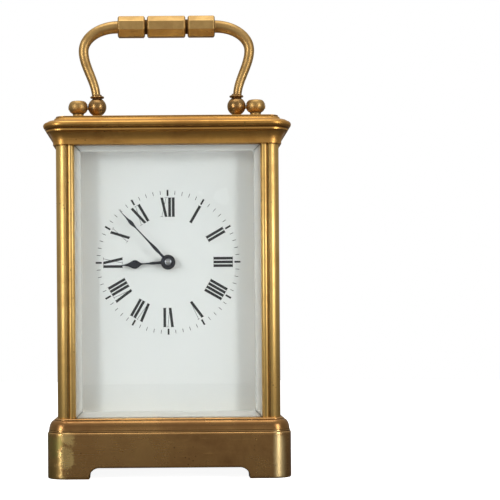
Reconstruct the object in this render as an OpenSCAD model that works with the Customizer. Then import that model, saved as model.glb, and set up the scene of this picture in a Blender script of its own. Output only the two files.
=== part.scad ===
// Striking mantel clock in a glazed brass case with a folding handle.
// The origin is the middle of the surface it stands on. The dial faces -Y and +Z is up.

/* [Case] */
// Width over the corner pillars
case_w = 86.7; // [86:0.1:88]
// Depth over the corner pillars
case_d = 76.4; // [76:0.1:78]
// Height of the moulded base
base_h = 23.2; // [23:0.1:24]
// Height of the corner pillars
pillar_h = 106; // [105.5:0.1:107]
// Width of a square corner pillar
pillar_w = 7.2; // [7:0.1:7.4]
// Height of the arch between the bracket feet
foot_h = 4.3; // [3:0.1:6]
// Length of one bracket foot
foot_l = 16.4; // [14:0.1:19]
// Thickness of the glass panels
glass_t = 2.6; // [2:0.1:2.8]

/* [Handle] */
// Distance from the middle of the clock to each handle post
post_x = 36.6; // [36.2:0.1:36.7]
// Height from the pivot line to the middle of the grip
handle_rise = 33; // [30:0.5:36]
// Width of the grip across its corners
grip_d = 9.2; // [8:0.1:9.6]
// Length of the grip
grip_l = 40; // [36:0.5:42]

/* [Dial and hands] */
// Height of the middle of the dial
dial_z = 83.8; // [83.5:0.1:84]
// Length of the minute hand
minute_l = 28.1; // [26:0.1:29]
// Length of the hour hand
hour_l = 19.2; // [18:0.1:20]
// Angle of the minute hand, clockwise from twelve
minute_at = 317.1; // [0:0.1:360]
// Angle of the hour hand, clockwise from twelve
hour_at = 266.4; // [0:0.1:360]

/* [Movement] */
// Height of the two barrels
barrel_z = 60; // [59.8:0.1:60.2]
// Distance from the middle of the clock to each barrel
barrel_x = 15.8; // [15.8:0.1:16]
// Radius of a barrel drum
barrel_r = 14.3; // [13.5:0.1:14.3]
// Radius of the balance wheel
balance_r = 7.5; // [6.5:0.1:7.5]

/* [Hidden] */
$fn = 64;
play = 0.04; // running clearance round a pivot
fit = 0.01; // clearance of a part that is driven on
mesh_gap = 0.06; // extra distance between two meshing arbors
corner_r = 4; // plan radius of the mouldings at the pillar face
fascia_out = 4; // how far the base stands out from the pillars
lip_out = 4.9; // how far the cornice lip stands out from the pillars
half_w = case_w / 2;
half_d = case_d / 2;
inner_x = half_w - pillar_w;
inner_y = half_d - pillar_w;
cornice_z = base_h + pillar_h;
cornice_h = 11.2;
top_z = cornice_z + cornice_h;
top_plate_t = 3.2;
glass_set = 1.6; // how far a glass stands behind the pillar faces
slot_depth = 1;
glass_front_y = -half_d + glass_set;
glass_side_x = half_w - glass_set - glass_t;
floor_t = 2.4;
screw_in = 3.9; // case screws stand this far in from both pillar faces
window_w = 48;
window_d = 36;
window_edge = 2;

door_y = half_d - 4; // inner face of the door
door_t = 3.4;
door_w = 2 * inner_x - 0.6;
door_bar = 4.4;
door_z0 = base_h + 0.4;
door_z1 = cornice_z - 0.4;
hinge_x = -inner_x + 2;
hinge_y = door_y + 2.3;
hinge_r = 0.6;
knob_x = inner_x - 2.6;
knob_z = 77.6;

pivot_z = top_z + 8.8;
ball_r = 3.8;
ball_x = post_x - 7.85;
neck_x = ball_x + 0.4; // the arms leave the balls a little outwards
elbow_x = post_x - 2.4;
elbow_drop = 9.9;
handle_pin_r = 1.1;
grip_z = pivot_z + handle_rise;
spigot_r = 1.5; // the arms end in spigots inside the grip
spigot_l = 5;

dial_y = -27.5; // front of the dial plate
dial_t = 1.8;
dial_w = 2 * inner_x + 1.6;
dial_h = 107.6;
dial_low = base_h + 0.8; // bottom edge of the dial plate
plate_t = 2.2;
front_y = -13.4; // front of the front plate
back_y = 19.3; // front of the back plate
inside_y = front_y + plate_t;
rear_y = back_y + plate_t;
plate_w = 62;
plate_top = 126.2;
pillar_spots = [for (x = [-27, 27]) for (z = [28.2, 122.6]) [x, z]];
feet_spots = [for (x = [-26, 26]) for (z = [38.7, 115.5]) [x, z]];

// Teeth: number and module of each mesh
great_n = 84;
great_m = 0.36;
low_n = 12;
inter_n = 60;
inter_m = 0.38;
centre_n = 64;
centre_m = 0.36;
high_n = 8;
third_n = 60;
third_m = 0.38;
contrate_n = 80;
contrate_m = 0.2;
pin_n = 64;
pin_m = 0.34;
strike_n = 56;
strike_third_m = 0.32;
warning_m = 0.28;
cannon_n = 12;
minute_n = 36;
cannon_m = 0.5;
reverse_n = 10;
hour_n = 40;
reverse_m = 0.48;
escape_n = 15;

// Places of the arbors, as [x, z]
centre = [0, dial_z];
time_at = [barrel_x, barrel_z];
strike_at = [-barrel_x, barrel_z];
contrate_at = [9, 107.5];
inter_at = between(time_at, span(great_n, low_n, great_m), centre, span(inter_n, low_n, inter_m), -1);
third_at = between(centre, span(centre_n, high_n, centre_m), contrate_at, span(third_n, high_n, third_m), -1);
pin_at = polar(strike_at, span(great_n, low_n, great_m), 104);
strike_third_at = polar(pin_at, span(pin_n, high_n, pin_m), 62);
warning_at = polar(strike_third_at, span(strike_n, high_n, strike_third_m), 112);
fly_at = polar(warning_at, span(strike_n, high_n, warning_m), 70);
reverse_at = polar(centre, span(cannon_n, minute_n, cannon_m), -60);
hammer_at = [-27.5, 91];
rack_at = [-25.5, 66];
time_click_at = click_place(time_at);
strike_click_at = click_place(strike_at);

// Layers of the wheels, as [front, back] along Y
great_y = [11.6, 14.6];
rear_wheel_y = [15.8, 17];
centre_wheel_y = [-6, -4.8];
third_wheel_y = [4, 5];
strike_third_y = [7, 8];
warning_y = [-3, -2];
contrate_y = [0, 2];
cannon_y = [-17, -14.6];
minute_wheel_y = [-16.6, -15.4];
hour_wheel_y = [-19.6, -18.4];
snail_y = [-21.6, -20];
ratchet_y = [-15.6, -13.9];
hour_hand_y = [-29.5, -29.1];
minute_hand_y = [-30.9, -30.5];

pivot_r = 0.5;
arbor_r = 0.9;
barrel_arbor_r = 2;
ratchet_r = 6;
square_w = 2.8;
square_end = 31.2;
hour_pipe_r = 2.2;
cannon_r = 1.5;
hand_arbor_r = 0.6;
stud_r = 0.7;

platform_t = 2;
platform_z = plate_top;
platform_screw_x = [-14, 13];
escape_xy = [contrate_at[0], contrate_y[1] + contrate_m * high_n / 2 - 0.12];
lever_xy = [escape_xy[0] - 4.9, escape_xy[1]];
balance_xy = [escape_xy[0] - 12.2, escape_xy[1]];
escape_z = platform_z + platform_t + 1.2;
balance_z = platform_z + platform_t + 4.2;
cock_z = platform_z + platform_t + 6.9;

gong_at = [0, 56.4];
gong_r = 18.8;
gong_step = 1.2;
gong_y = [23.6, 25.4];
gong_wire = 1.2;
block_z = [85.7, 101.5];

function click_place(p) = [p[0] + 5.6, p[1] + 8.6];
function polar(p, r, a) = [p[0] + r * cos(a), p[1] + r * sin(a)];
function heading(a, b) = atan2(b[1] - a[1], b[0] - a[0]);
function span(n1, n2, m) = m * (n1 + n2) / 2 + mesh_gap;

// The point at distance ra from a and rb from b, on the given side of the line between them
function between(a, ra, b, rb, side) =
    let (d = norm(b - a), t = (ra * ra - rb * rb + d * d) / (2 * d), h = sqrt(ra * ra - t * t), u = (b - a) / d)
    a + t * u + side * h * [-u[1], u[0]];

// Turn of the second wheel of a mesh that brings its gaps to the first wheel's teeth
function mesh_turn(turn, n1, n2, th) = th + 180 - (turn - th) * n1 / n2 + 180 / n2;

function curve(cx, cy, rx, ry, a0, a1, n) =
    [for (i = [0:n]) let (a = a0 + (a1 - a0) * i / n) [cx + rx * cos(a), cy + ry * sin(a)]];

// Outline of a wheel: thin teeth with narrow tips, so that a pair runs freely at every angle
function teeth(n, m, turn, low) =
    let (r = m * n / 2, root = r - (low ? 1.2 : 1.15) * m, tip = r + (low ? 0.55 : 0.8) * m, p = 360 / n)
    [for (i = [0:n - 1]) let (a = turn + i * p)
        each [
            polar([0, 0], root, a - 0.19 * p), polar([0, 0], r, a - 0.17 * p), polar([0, 0], tip, a - 0.06 * p),
            polar([0, 0], tip, a + 0.06 * p), polar([0, 0], r, a + 0.17 * p), polar([0, 0], root, a + 0.19 * p)
        ]];

great_turn = 0;
inter_low_turn = mesh_turn(great_turn, great_n, low_n, heading(time_at, inter_at));
centre_low_turn = mesh_turn(0, inter_n, low_n, heading(inter_at, centre));
third_low_turn = mesh_turn(0, centre_n, high_n, heading(centre, third_at));
contrate_low_turn = mesh_turn(0, third_n, high_n, heading(third_at, contrate_at));
pin_low_turn = mesh_turn(great_turn, great_n, low_n, heading(strike_at, pin_at));
strike_third_low_turn = mesh_turn(0, pin_n, high_n, heading(pin_at, strike_third_at));
warning_low_turn = mesh_turn(0, strike_n, high_n, heading(strike_third_at, warning_at));
fly_low_turn = mesh_turn(0, strike_n, high_n, heading(warning_at, fly_at));
minute_wheel_turn = mesh_turn(0, cannon_n, minute_n, heading(centre, reverse_at));
hour_wheel_turn = mesh_turn(0, reverse_n, hour_n, heading(reverse_at, centre));

brass = "goldenrod";
dark_brass = "darkgoldenrod";
gilt = "khaki";
steel = "silver";
blued = "midnightblue";
enamel = "white";
clear = [0.8, 0.9, 0.95, 0.4];

// ---- helpers ----

// Extrude a flat shape drawn in X and Z between two places along Y
module layer(y) {
    translate([0, y[1], 0])
        rotate([90, 0, 0])
            linear_extrude(y[1] - y[0])
                children();
}

// Round bar along Y at p = [x, z]
module bar_y(p, y, r) {
    translate([p[0], y[1], p[1]])
        rotate([90, 0, 0])
            cylinder(h = y[1] - y[0], r = r);
}

module wheel_layer(p, y) {
    translate([p[0], 0, p[1]])
        layer(y)
            children();
}

// Crossed wheel: toothed rim, arms and a hub with its bore
module crossed_wheel(n, m, turn, hub, bore, arms = 5) {
    rim = m * n / 2 - 3.4 * m;
    difference() {
        polygon(teeth(n, m, turn, false));
        difference() {
            circle(rim);
            circle(hub);
            for (i = [0:arms - 1])
                rotate(i * 360 / arms)
                    translate([0, -0.55])
                        square([rim + 1, 1.1]);
        }
        circle(bore);
    }
}

module pinion(n, m, turn) {
    polygon(teeth(n, m, turn, true));
}

// Arbor along Y between the plates, thinner where it runs in them
module arbor(p, r = arbor_r) {
    bar_y(p, [inside_y + 0.15, back_y - 0.15], r);
    bar_y(p, [front_y + 0.2, rear_y - 0.2], pivot_r);
}

// A moulding right round a rectangle: outline points are [outward, height]
module moulding(w, d, r, outline) {
    for (side = [0:3]) {
        run = side % 2 == 0 ? d - 2 * r : w - 2 * r;
        reach = side % 2 == 0 ? w / 2 - r : d / 2 - r;
        rotate([0, 0, side * 90]) {
            translate([reach, run / 2, 0])
                rotate([90, 0, 0])
                    linear_extrude(run)
                        polygon([for (p = outline) [p[0] + r, p[1]]]);
            translate([reach, run / 2, 0])
                rotate_extrude(angle = 90)
                    polygon([for (p = outline) [p[0] + r, p[1]]]);
        }
    }
}

// Box centred on X and Y from z0 to z1
module block(w, d, z0, z1) {
    translate([-w / 2, -d / 2, z0])
        cube([w, d, z1 - z0]);
}

// Glass panel lying in X and Z with its outer edges bevelled towards -Y
module bevelled_glass(w, h, t) {
    slope = 14;
    bevel_w = 3.7;
    difference() {
        translate([-w / 2, 0, 0])
            cube([w, t, h]);
        for (s = [-1, 1])
            translate([s * (w / 2 - bevel_w), 0, -1])
                rotate([0, 0, s * slope])
                    translate([s > 0 ? 0 : -2 * bevel_w, -4, 0])
                        cube([2 * bevel_w, 4, h + 2]);
        for (s = [-1, 1])
            translate([-w / 2 - 1, 0, h / 2 + s * (h / 2 - bevel_w)])
                rotate([-s * slope, 0, 0])
                    translate([0, -4, s > 0 ? 0 : -2 * bevel_w])
                        cube([w + 2, 4, 2 * bevel_w]);
    }
}

// ---- case ----

// Outline of the base: upright fascia, fillet, ovolo and a narrow ledge
function base_outline() = concat(
    [[-corner_r, 0], [fascia_out, 0], [fascia_out, 17.6], [fascia_out - 0.35, 17.9], [fascia_out - 0.35, 18.5]],
    curve(1.3, 18.5, fascia_out - 1.85, 4, 0, 90, 8),
    [[1.3, 22.8], [0.9, base_h], [-corner_r, base_h]]
);

module base_moulding() {
    arch_r = foot_h * 0.9;
    span_x = case_w + 2 * fascia_out - 2 * foot_l;
    span_y = case_d + 2 * fascia_out - 2 * foot_l;
    color(dark_brass)
        difference() {
            union() {
                moulding(case_w, case_d, corner_r, base_outline());
                block(case_w - 2 * corner_r, case_d - 2 * corner_r, 0, base_h);
            }
            block(74, 64, -1, base_h - floor_t);
            block(75.6, 65.6, base_h - floor_t, base_h + 1);
            for (turn = [0, 90]) {
                long = turn == 0 ? span_x : span_y;
                rotate([0, 0, turn])
                    translate([0, 60, 0])
                        rotate([90, 0, 0])
                            linear_extrude(120)
                                polygon(concat(
                                    [[-long / 2, -1], [long / 2, -1]],
                                    curve(long / 2 - arch_r, foot_h - arch_r, arch_r, arch_r, 0, 90, 8),
                                    curve(-long / 2 + arch_r, foot_h - arch_r, arch_r, arch_r, 90, 180, 8)
                                ));
            }
            for (x = [-1, 1])
                for (y = [-1, 1])
                    translate([x * (half_w - screw_in), y * (half_d - screw_in), 0]) {
                        translate([0, 0, -1])
                            cylinder(h = 13, r = 2.3);
                        cylinder(h = base_h + 1, r = 1.3);
                    }
            translate([hinge_x, hinge_y, base_h - 1.4])
                cylinder(h = 2, r = hinge_r + play);
        }
}

module base_floor() {
    color(brass)
        difference() {
            block(75.4, 65.4, base_h - floor_t, base_h);
            for (x = [-24, 24])
                for (y = [front_y + plate_t / 2, back_y + plate_t / 2])
                    translate([x, y, base_h - floor_t - 1])
                        cylinder(h = floor_t + 2, r = 0.9);
        }
}

// Section of a corner pillar: a round corner column, a groove and a bead on both faces
module pillar_section(with_door) {
    column_r = 3.85;
    bead_r = 1.35;
    difference() {
        intersection() {
            square(pillar_w);
            union() {
                translate([column_r, column_r])
                    circle(column_r);
                translate([1.3, 1.3])
                    square(pillar_w);
                for (flip = [0, 1])
                    mirror([flip, -flip])
                        translate([pillar_w - bead_r, bead_r + 0.15])
                            circle(bead_r);
            }
        }
        for (flip = [0, 1])
            mirror([flip, -flip])
                translate([4.05, -1])
                    square([0.45, 1.95]);
        translate([glass_set - 0.05, pillar_w - slot_depth])
            square([glass_t + 0.1, 2]);
        if (!with_door)
            translate([pillar_w - slot_depth, glass_set - 0.05])
                square([2, glass_t + 0.1]);
    }
}

module pillar(sx, sy) {
    translate([sx * half_w, sy * half_d, base_h])
        mirror([sx > 0 ? 1 : 0, 0, 0])
            mirror([0, sy > 0 ? 1 : 0, 0])
                color(brass)
                    difference() {
                        union() {
                            linear_extrude(pillar_h)
                                pillar_section(sy > 0);
                            translate([screw_in, screw_in, pillar_h - 1])
                                cylinder(h = 5, r = 1.5);
                        }
                        translate([screw_in, screw_in, -1])
                            cylinder(h = 8, r = 1.2 + fit);
                    }
}

module pillar_front_left() { pillar(-1, -1); }
module pillar_front_right() { pillar(1, -1); }
module pillar_rear_left() { pillar(-1, 1); }
module pillar_rear_right() { pillar(1, 1); }

module case_screws() {
    color(steel) {
        for (x = [-1, 1])
            for (y = [-1, 1])
                translate([x * (half_w - screw_in), y * (half_d - screw_in), 0])
                    difference() {
                        union() {
                            translate([0, 0, 10.4])
                                cylinder(h = 1.6, r = 2.1);
                            translate([0, 0, 11])
                                cylinder(h = 18, r = 1.2);
                        }
                        translate([-3, -0.3, 9.4])
                            cube([6, 0.6, 1.6]);
                    }
        for (x = [-24, 24])
            for (y = [front_y + plate_t / 2, back_y + plate_t / 2])
                translate([x, y, base_h - floor_t - 1.2]) {
                    cylinder(h = 1.2, r = 1.7);
                    cylinder(h = 8, r = 0.75);
                }
    }
}

// Outline of the cornice: fillet, cavetto, rounded lip and a stepped slope up to the top
function cornice_outline() = concat(
    [[-corner_r, 0], [1.1, 0], [1.1, 0.8]],
    curve(3.7, 0.8, 2.6, 4.3, 180, 90, 8),
    [[3.7, 6.2]],
    curve(lip_out - 1.1, 7.5, 1.1, 1.2, -80, 80, 8),
    [[3.5, 8.9], [2.9, 9.3], [2.4, 9.3]],
    curve(2.4, 10.4, 1.9, 1.1, 270, 180, 5),
    [[0.2, 10.5], [-0.1, 10.7], [-0.1, cornice_h], [-corner_r, cornice_h]]
);

module cornice() {
    color(brass)
        difference() {
            translate([0, 0, cornice_z])
                union() {
                    moulding(case_w, case_d, corner_r, cornice_outline());
                    block(case_w - 2 * corner_r, case_d - 2 * corner_r, 0, cornice_h);
                }
            block(74.6, 64.4, cornice_z - 1, top_z - top_plate_t);
            block(window_w, window_d, cornice_z, top_z + 1);
            block(window_w + 2 * window_edge, window_d + 2 * window_edge, top_z - 2.3, top_z + 1);
            for (x = [-1, 1])
                for (y = [-1, 1])
                    translate([x * (half_w - screw_in), y * (half_d - screw_in), cornice_z - 1])
                        cylinder(h = 5.2, r = 1.5 + fit);
            for (x = [-1, 1])
                translate([x * post_x, 0, top_z - 4])
                    cylinder(h = 6, r = 1.6 + fit);
            translate([hinge_x, hinge_y, cornice_z - 1])
                cylinder(h = 2.6, r = hinge_r + play);
        }
}

module glass_front() {
    color(clear)
        translate([0, glass_front_y, base_h + 0.1])
            bevelled_glass(2 * (inner_x + slot_depth - 0.1), pillar_h - 0.2, glass_t);
}

module glass_side(s) {
    color(clear)
        translate([s * (glass_side_x + glass_t), 0, base_h + 0.1])
            rotate([0, 0, s * 90])
                bevelled_glass(2 * (inner_y + slot_depth - 0.1), pillar_h - 0.2, glass_t);
}

module glass_left() { glass_side(-1); }
module glass_right() { glass_side(1); }

module glass_top() {
    color(clear)
        translate([0, 0, top_z - 0.1])
            rotate([-90, 0, 0])
                translate([0, 0, -(window_d + 2 * window_edge - 0.2) / 2])
                    bevelled_glass(window_w + 2 * window_edge - 0.2, window_d + 2 * window_edge - 0.2, 2.2);
}

// ---- rear door ----

module rear_door_frame() {
    color(brass)
        difference() {
            union() {
                translate([-door_w / 2, door_y, door_z0])
                    cube([door_w, door_t, door_z1 - door_z0]);
                translate([hinge_x, hinge_y, door_z1 - 1])
                    cylinder(h = 2.4, r = hinge_r);
                translate([hinge_x, hinge_y, door_z0 - 1.4])
                    cylinder(h = 2.4, r = hinge_r);
            }
            translate([-door_w / 2 + door_bar, door_y - 1, door_z0 + door_bar])
                cube([door_w - 2 * door_bar, door_t + 2, door_z1 - door_z0 - 2 * door_bar]);
            translate([-door_w / 2 + door_bar - 1.4, door_y - 1, door_z0 + door_bar - 1.4])
                cube([door_w - 2 * door_bar + 2.8, 3, door_z1 - door_z0 - 2 * door_bar + 2.8]);
            translate([-door_w / 2, door_y + door_t, (door_z0 + door_z1) / 2])
                rotate([0, 0, 45])
                    cube([1.6, 1.6, door_z1 - door_z0 + 2], center = true);
            translate([knob_x, door_y - 1, knob_z])
                rotate([-90, 0, 0])
                    cylinder(h = door_t + 2, r = 0.8 + fit);
        }
}

module rear_door_glass() {
    color(clear)
        translate([-door_w / 2 + door_bar - 1.3, door_y, door_z0 + door_bar - 1.3])
            cube([door_w - 2 * door_bar + 2.6, 1.9, door_z1 - door_z0 - 2 * door_bar + 2.6]);
}

module rear_door_knob() {
    color(brass)
        translate([knob_x, door_y + door_t, knob_z])
            rotate([-90, 0, 0]) {
                rotate_extrude()
                    polygon(concat(
                        [[0, 0], [2.6, 0], [2.6, 0.4], [1.7, 1], [1.3, 1.7], [1.25, 2.5], [1.7, 3.2], [2.5, 3.7]],
                        curve(0, 4.2, 2.6, 1.2, 0, 90, 8)
                    ));
                translate([0, 0, -door_t])
                    cylinder(h = door_t + 0.5, r = 0.8);
            }
}

// ---- handle ----

// Swan-neck arm: an S curve from the ball out to the elbow, then a quarter ellipse in to the grip
module handle_arm() {
    elbow_z = grip_z - elbow_drop;
    reach = elbow_x - grip_l / 2 - fit;
    foot_z = pivot_z + 4.6;
    steps = 12;
    rings = concat(
        [for (i = [0:steps]) let (t = i / steps, s = t * t * (3 - 2 * t))
            [neck_x + (elbow_x - neck_x) * s, foot_z + (elbow_z - foot_z) * t, 2.5 - 0.8 * (1 - t) * (1 - t)]],
        [for (i = [1:steps]) let (a = 90 * i / steps)
            [elbow_x - reach + reach * cos(a), elbow_z + elbow_drop * sin(a), 2.5 + 0.2 * i / steps]]
    );
    sides = 16;
    n = len(rings);
    tangents = [for (i = [0:n - 1]) let (a = rings[max(i - 1, 0)], b = rings[min(i + 1, n - 1)])
        i == n - 1 ? 180 : atan2(b[1] - a[1], b[0] - a[0])];
    polyhedron(
        points = [for (i = [0:n - 1]) for (k = [0:sides - 1])
            let (q = rings[i], a = k * 360 / sides, u = q[2] * cos(a))
            [q[0] + u * sin(tangents[i]), q[2] * sin(a), q[1] - u * cos(tangents[i])]],
        faces = concat(
            [[for (k = [0:sides - 1]) k]],
            [[for (k = [sides - 1:-1:0]) (n - 1) * sides + k]],
            [for (i = [0:n - 2]) for (k = [0:sides - 1])
                [i * sides + k, (i + 1) * sides + k, (i + 1) * sides + (k + 1) % sides, i * sides + (k + 1) % sides]]
        ));
}

module handle_bail() {
    color(dark_brass)
        for (s = [0, 1])
            mirror([s, 0, 0]) {
                handle_arm();
                translate([grip_l / 2 - spigot_l, 0, grip_z])
                    rotate([0, 90, 0])
                        cylinder(h = spigot_l + 1, r = spigot_r);
                translate([neck_x, 0, pivot_z + 3.4])
                    cylinder(h = 1.2, r = 2.9);
                difference() {
                    translate([ball_x, 0, pivot_z])
                        sphere(ball_r);
                    translate([ball_x, 0, pivot_z])
                        rotate([0, 90, 0])
                            cylinder(h = 6, r = handle_pin_r + play);
                }
            }
}

module handle_grip() {
    groove = 0.9;
    cut = 0.9;
    end_l = 11.2;
    middle_l = grip_l - 2 * end_l - 2 * groove;
    segments = [[0, end_l], [end_l + groove, middle_l], [grip_l - end_l, end_l]];
    color(brass)
        translate([-grip_l / 2, 0, grip_z])
            rotate([0, 90, 0])
                difference() {
                    union() {
                        cylinder(h = grip_l, r = 3);
                        for (s = segments)
                            translate([0, 0, s[0]])
                                rotate([0, 0, 22.5]) {
                                    cylinder(h = cut, r1 = grip_d / 2 - cut, r2 = grip_d / 2, $fn = 8);
                                    translate([0, 0, cut])
                                        cylinder(h = s[1] - 2 * cut, r = grip_d / 2, $fn = 8);
                                    translate([0, 0, s[1] - cut])
                                        cylinder(h = cut, r1 = grip_d / 2, r2 = grip_d / 2 - cut, $fn = 8);
                                }
                    }
                    for (z = [-1, grip_l - spigot_l - 0.1])
                        translate([0, 0, z])
                            cylinder(h = spigot_l + 1.1, r = spigot_r + fit);
                }
}

module handle_posts() {
    color(dark_brass)
        for (s = [-1, 1])
            translate([s * post_x, 0, top_z])
                difference() {
                    union() {
                        rotate_extrude()
                            polygon(concat(
                                [[0, 0], [4.15, 0], [4.15, 0.6], [3.7, 1.2], [2.8, 2], [2.15, 2.8], [2.1, 4.9], [2.3, 6.1]],
                                curve(2.3, 8.8, 1.65, 2.5, -80, 90, 10),
                                [[0, 11.5]]
                            ));
                        translate([0, 0, -3])
                            cylinder(h = 3.2, r = 1.6);
                    }
                    translate([-6, 0, pivot_z - top_z])
                        rotate([0, 90, 0])
                            cylinder(h = 12, r = handle_pin_r + fit);
                }
}

module handle_pivots() {
    color(steel)
        for (s = [0, 1])
            mirror([s, 0, 0])
                translate([ball_x + 1, 0, pivot_z])
                    rotate([0, 90, 0])
                        cylinder(h = post_x - ball_x + 3, r = handle_pin_r);
}

// ---- dial and hands ----

module dial_plate() {
    color(enamel)
        translate([0, 0, dial_z])
            layer([dial_y, dial_y + dial_t])
                difference() {
                    translate([-dial_w / 2, dial_low - dial_z])
                        square([dial_w, dial_h]);
                    circle(2.9);
                }
}

module dial_feet() {
    color(brass)
        for (p = feet_spots) {
            bar_y(p, [dial_y + dial_t, front_y], 1.7);
            bar_y(p, [dial_y + dial_t, dial_y + dial_t + 1.2], 2.6);
            bar_y(p, [front_y - 1.2, front_y], 2.6);
        }
}

// Outline of a slim pointer along +Y with a swelling, as half widths at distances from the middle
module pointer(steps) {
    polygon(concat(
        [for (s = steps) [s[1], s[0]]],
        [for (i = [len(steps) - 1:-1:0]) [-steps[i][1], steps[i][0]]]
    ));
}

module hour_hand() {
    color(blued)
        wheel_layer(centre, hour_hand_y)
            difference() {
                union() {
                    circle(2.9);
                    rotate(-hour_at)
                        pointer([
                            [2, 0.75], [6, 0.5], [9.6, 0.42], [10.6, 0.9], [11.8, 1.5], [13, 1.6],
                            [14.2, 1.15], [15.4, 0.5], [hour_l, 0.1]
                        ]);
                }
                circle(hour_pipe_r + fit);
            }
}

module minute_hand() {
    color(blued)
        wheel_layer(centre, minute_hand_y)
            difference() {
                union() {
                    circle(2.1);
                    rotate(-minute_at)
                        pointer([
                            [1.5, 0.6], [5.4, 0.45], [6.4, 0.7], [7.4, 0.42], [18.6, 0.34],
                            [20, 0.7], [21.3, 0.95], [22.6, 0.6], [24.4, 0.25], [minute_l, 0.08]
                        ]);
                }
                circle(1 + fit);
            }
}

module hand_nut() {
    color(steel)
        difference() {
            union() {
                bar_y(centre, [minute_hand_y[0] - 0.7, minute_hand_y[0]], 1.9);
                bar_y(centre, [minute_hand_y[0] - 1.3, minute_hand_y[0] - 0.7], 1.3);
            }
            bar_y(centre, [minute_hand_y[0] - 2, minute_hand_y[0] + 1], hand_arbor_r + fit);
        }
}

// ---- movement frame ----

train = [inter_at, third_at, contrate_at, pin_at, strike_third_at, warning_at, fly_at, hammer_at];

module plate(y) {
    layer(y)
        difference() {
            translate([-plate_w / 2, base_h])
                square([plate_w, plate_top - base_h]);
            for (p = train)
                translate(p)
                    circle(pivot_r + play);
            for (p = [time_at, strike_at])
                translate(p)
                    circle(barrel_arbor_r + play);
            translate(centre)
                circle(arbor_r + play);
            for (p = pillar_spots)
                translate(p)
                    circle(1.25);
        }
}

module foot_bores() {
    for (x = [-24, 24])
        for (y = [front_y + plate_t / 2, back_y + plate_t / 2])
            translate([x, y, base_h - 1])
                cylinder(h = 7, r = 0.75 + fit);
    for (x = platform_screw_x)
        for (y = [front_y + plate_t / 2, back_y + plate_t / 2])
            translate([x, y, plate_top - 3.4])
                cylinder(h = 4, r = 0.7 + fit);
}

// Fixed stud on the front plate, with a head that keeps its part on
module stud(p, y) {
    bar_y(p, [y - 0.5, front_y + 0.1], stud_r);
    bar_y(p, [y - 1, y - 0.2], stud_r + 0.6);
}

module front_plate() {
    color(gilt) {
        difference() {
            plate([front_y, inside_y]);
            foot_bores();
            bar_y(strike_third_at, [front_y - 1, inside_y + 1], arbor_r + play);
        }
        stud(time_click_at, ratchet_y[0]);
        stud(strike_click_at, ratchet_y[0]);
        stud(rack_at, snail_y[0]);
        stud(reverse_at, hour_wheel_y[0] - 0.1);
    }
}

module back_plate() {
    color(gilt)
        difference() {
            plate([back_y, rear_y]);
            foot_bores();
        }
}

module movement_pillars() {
    long = back_y - inside_y;
    color(brass)
        for (p = pillar_spots)
            translate([p[0], inside_y, p[1]])
                rotate([-90, 0, 0])
                    difference() {
                        rotate_extrude()
                            polygon([
                                [0, 0], [3.6, 0], [3.6, 1.4], [2.6, 2], [2.6, 2.6], [3.7, 3.2], [3.7, 4.6], [2.6, 5.4],
                                [2.3, 7], [2.3, long - 7], [2.6, long - 5.4], [3.7, long - 4.6], [3.7, long - 3.2],
                                [2.6, long - 2.6], [2.6, long - 2], [3.6, long - 1.4], [3.6, long], [0, long]
                            ]);
                        translate([0, 0, -1])
                            cylinder(h = 5, r = 1.2 + fit);
                        translate([0, 0, long - 4])
                            cylinder(h = 5, r = 1.2 + fit);
                    }
}

module plate_screws() {
    color(blued) {
        for (p = pillar_spots)
            for (rear = [0, 1])
                translate([p[0], rear == 0 ? front_y : rear_y, p[1]])
                    rotate([rear == 0 ? 90 : -90, 0, 0])
                        difference() {
                            union() {
                                cylinder(h = 1.4, r = 2.3);
                                translate([0, 0, -5.6])
                                    cylinder(h = 6, r = 1.2);
                            }
                            translate([-3, -0.3, 0.8])
                                cube([6, 0.6, 2]);
                        }
        for (x = platform_screw_x)
            for (y = [front_y + plate_t / 2, back_y + plate_t / 2])
                translate([x, y, platform_z + platform_t]) {
                    cylinder(h = 0.9, r = 1.6);
                    translate([0, 0, -5])
                        cylinder(h = 5.5, r = 0.7);
                }
    }
}

// ---- barrels ----

module barrel(p) {
    color(brass)
        difference() {
            union() {
                bar_y(p, [-10, great_y[0] + 0.1], barrel_r);
                wheel_layer(p, great_y)
                    polygon(teeth(great_n, great_m, great_turn, false));
            }
            bar_y(p, [-8.8, great_y[0] + 1], barrel_r - 1.1);
            bar_y(p, [-12, great_y[1] + 1], barrel_arbor_r + play);
        }
}

module barrel_arbor(p) {
    color(steel) {
        bar_y(p, [-16.6, rear_y + 0.4], barrel_arbor_r);
        bar_y(p, [-8.6, 12.4], 3.1);
        wheel_layer(p, [rear_y, square_end])
            square(square_w, center = true);
    }
}

module ratchet(p) {
    n = 24;
    color(steel)
        wheel_layer(p, ratchet_y)
            difference() {
                polygon([for (i = [0:n - 1]) for (k = [0, 1])
                    polar([0, 0], k == 0 ? ratchet_r : ratchet_r - 0.9, (i + (k == 0 ? 0 : 0.12)) * 360 / n)]);
                circle(barrel_arbor_r + fit);
            }
}

// Click: a small lever whose beak lies over the ratchet teeth
module click(pin) {
    color(steel)
        wheel_layer(pin, ratchet_y)
            difference() {
                union() {
                    circle(1.9);
                    polygon([[-1.7, 0.9], [1.7, 0.9], [0.4, -4.2], [-1, -4.3]]);
                    polygon([[-0.9, -1.5], [-0.9, 1.5], [-4, 2.4], [-4, 1.6]]);
                }
                circle(stud_r + play);
            }
}

module time_barrel() { barrel(time_at); }
module time_barrel_arbor() { barrel_arbor(time_at); }
module time_ratchet() { ratchet(time_at); }
module time_click() { click(time_click_at); }
module strike_barrel() { barrel(strike_at); }
module strike_barrel_arbor() { barrel_arbor(strike_at); }
module strike_ratchet() { ratchet(strike_at); }
module strike_click() { click(strike_click_at); }

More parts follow.
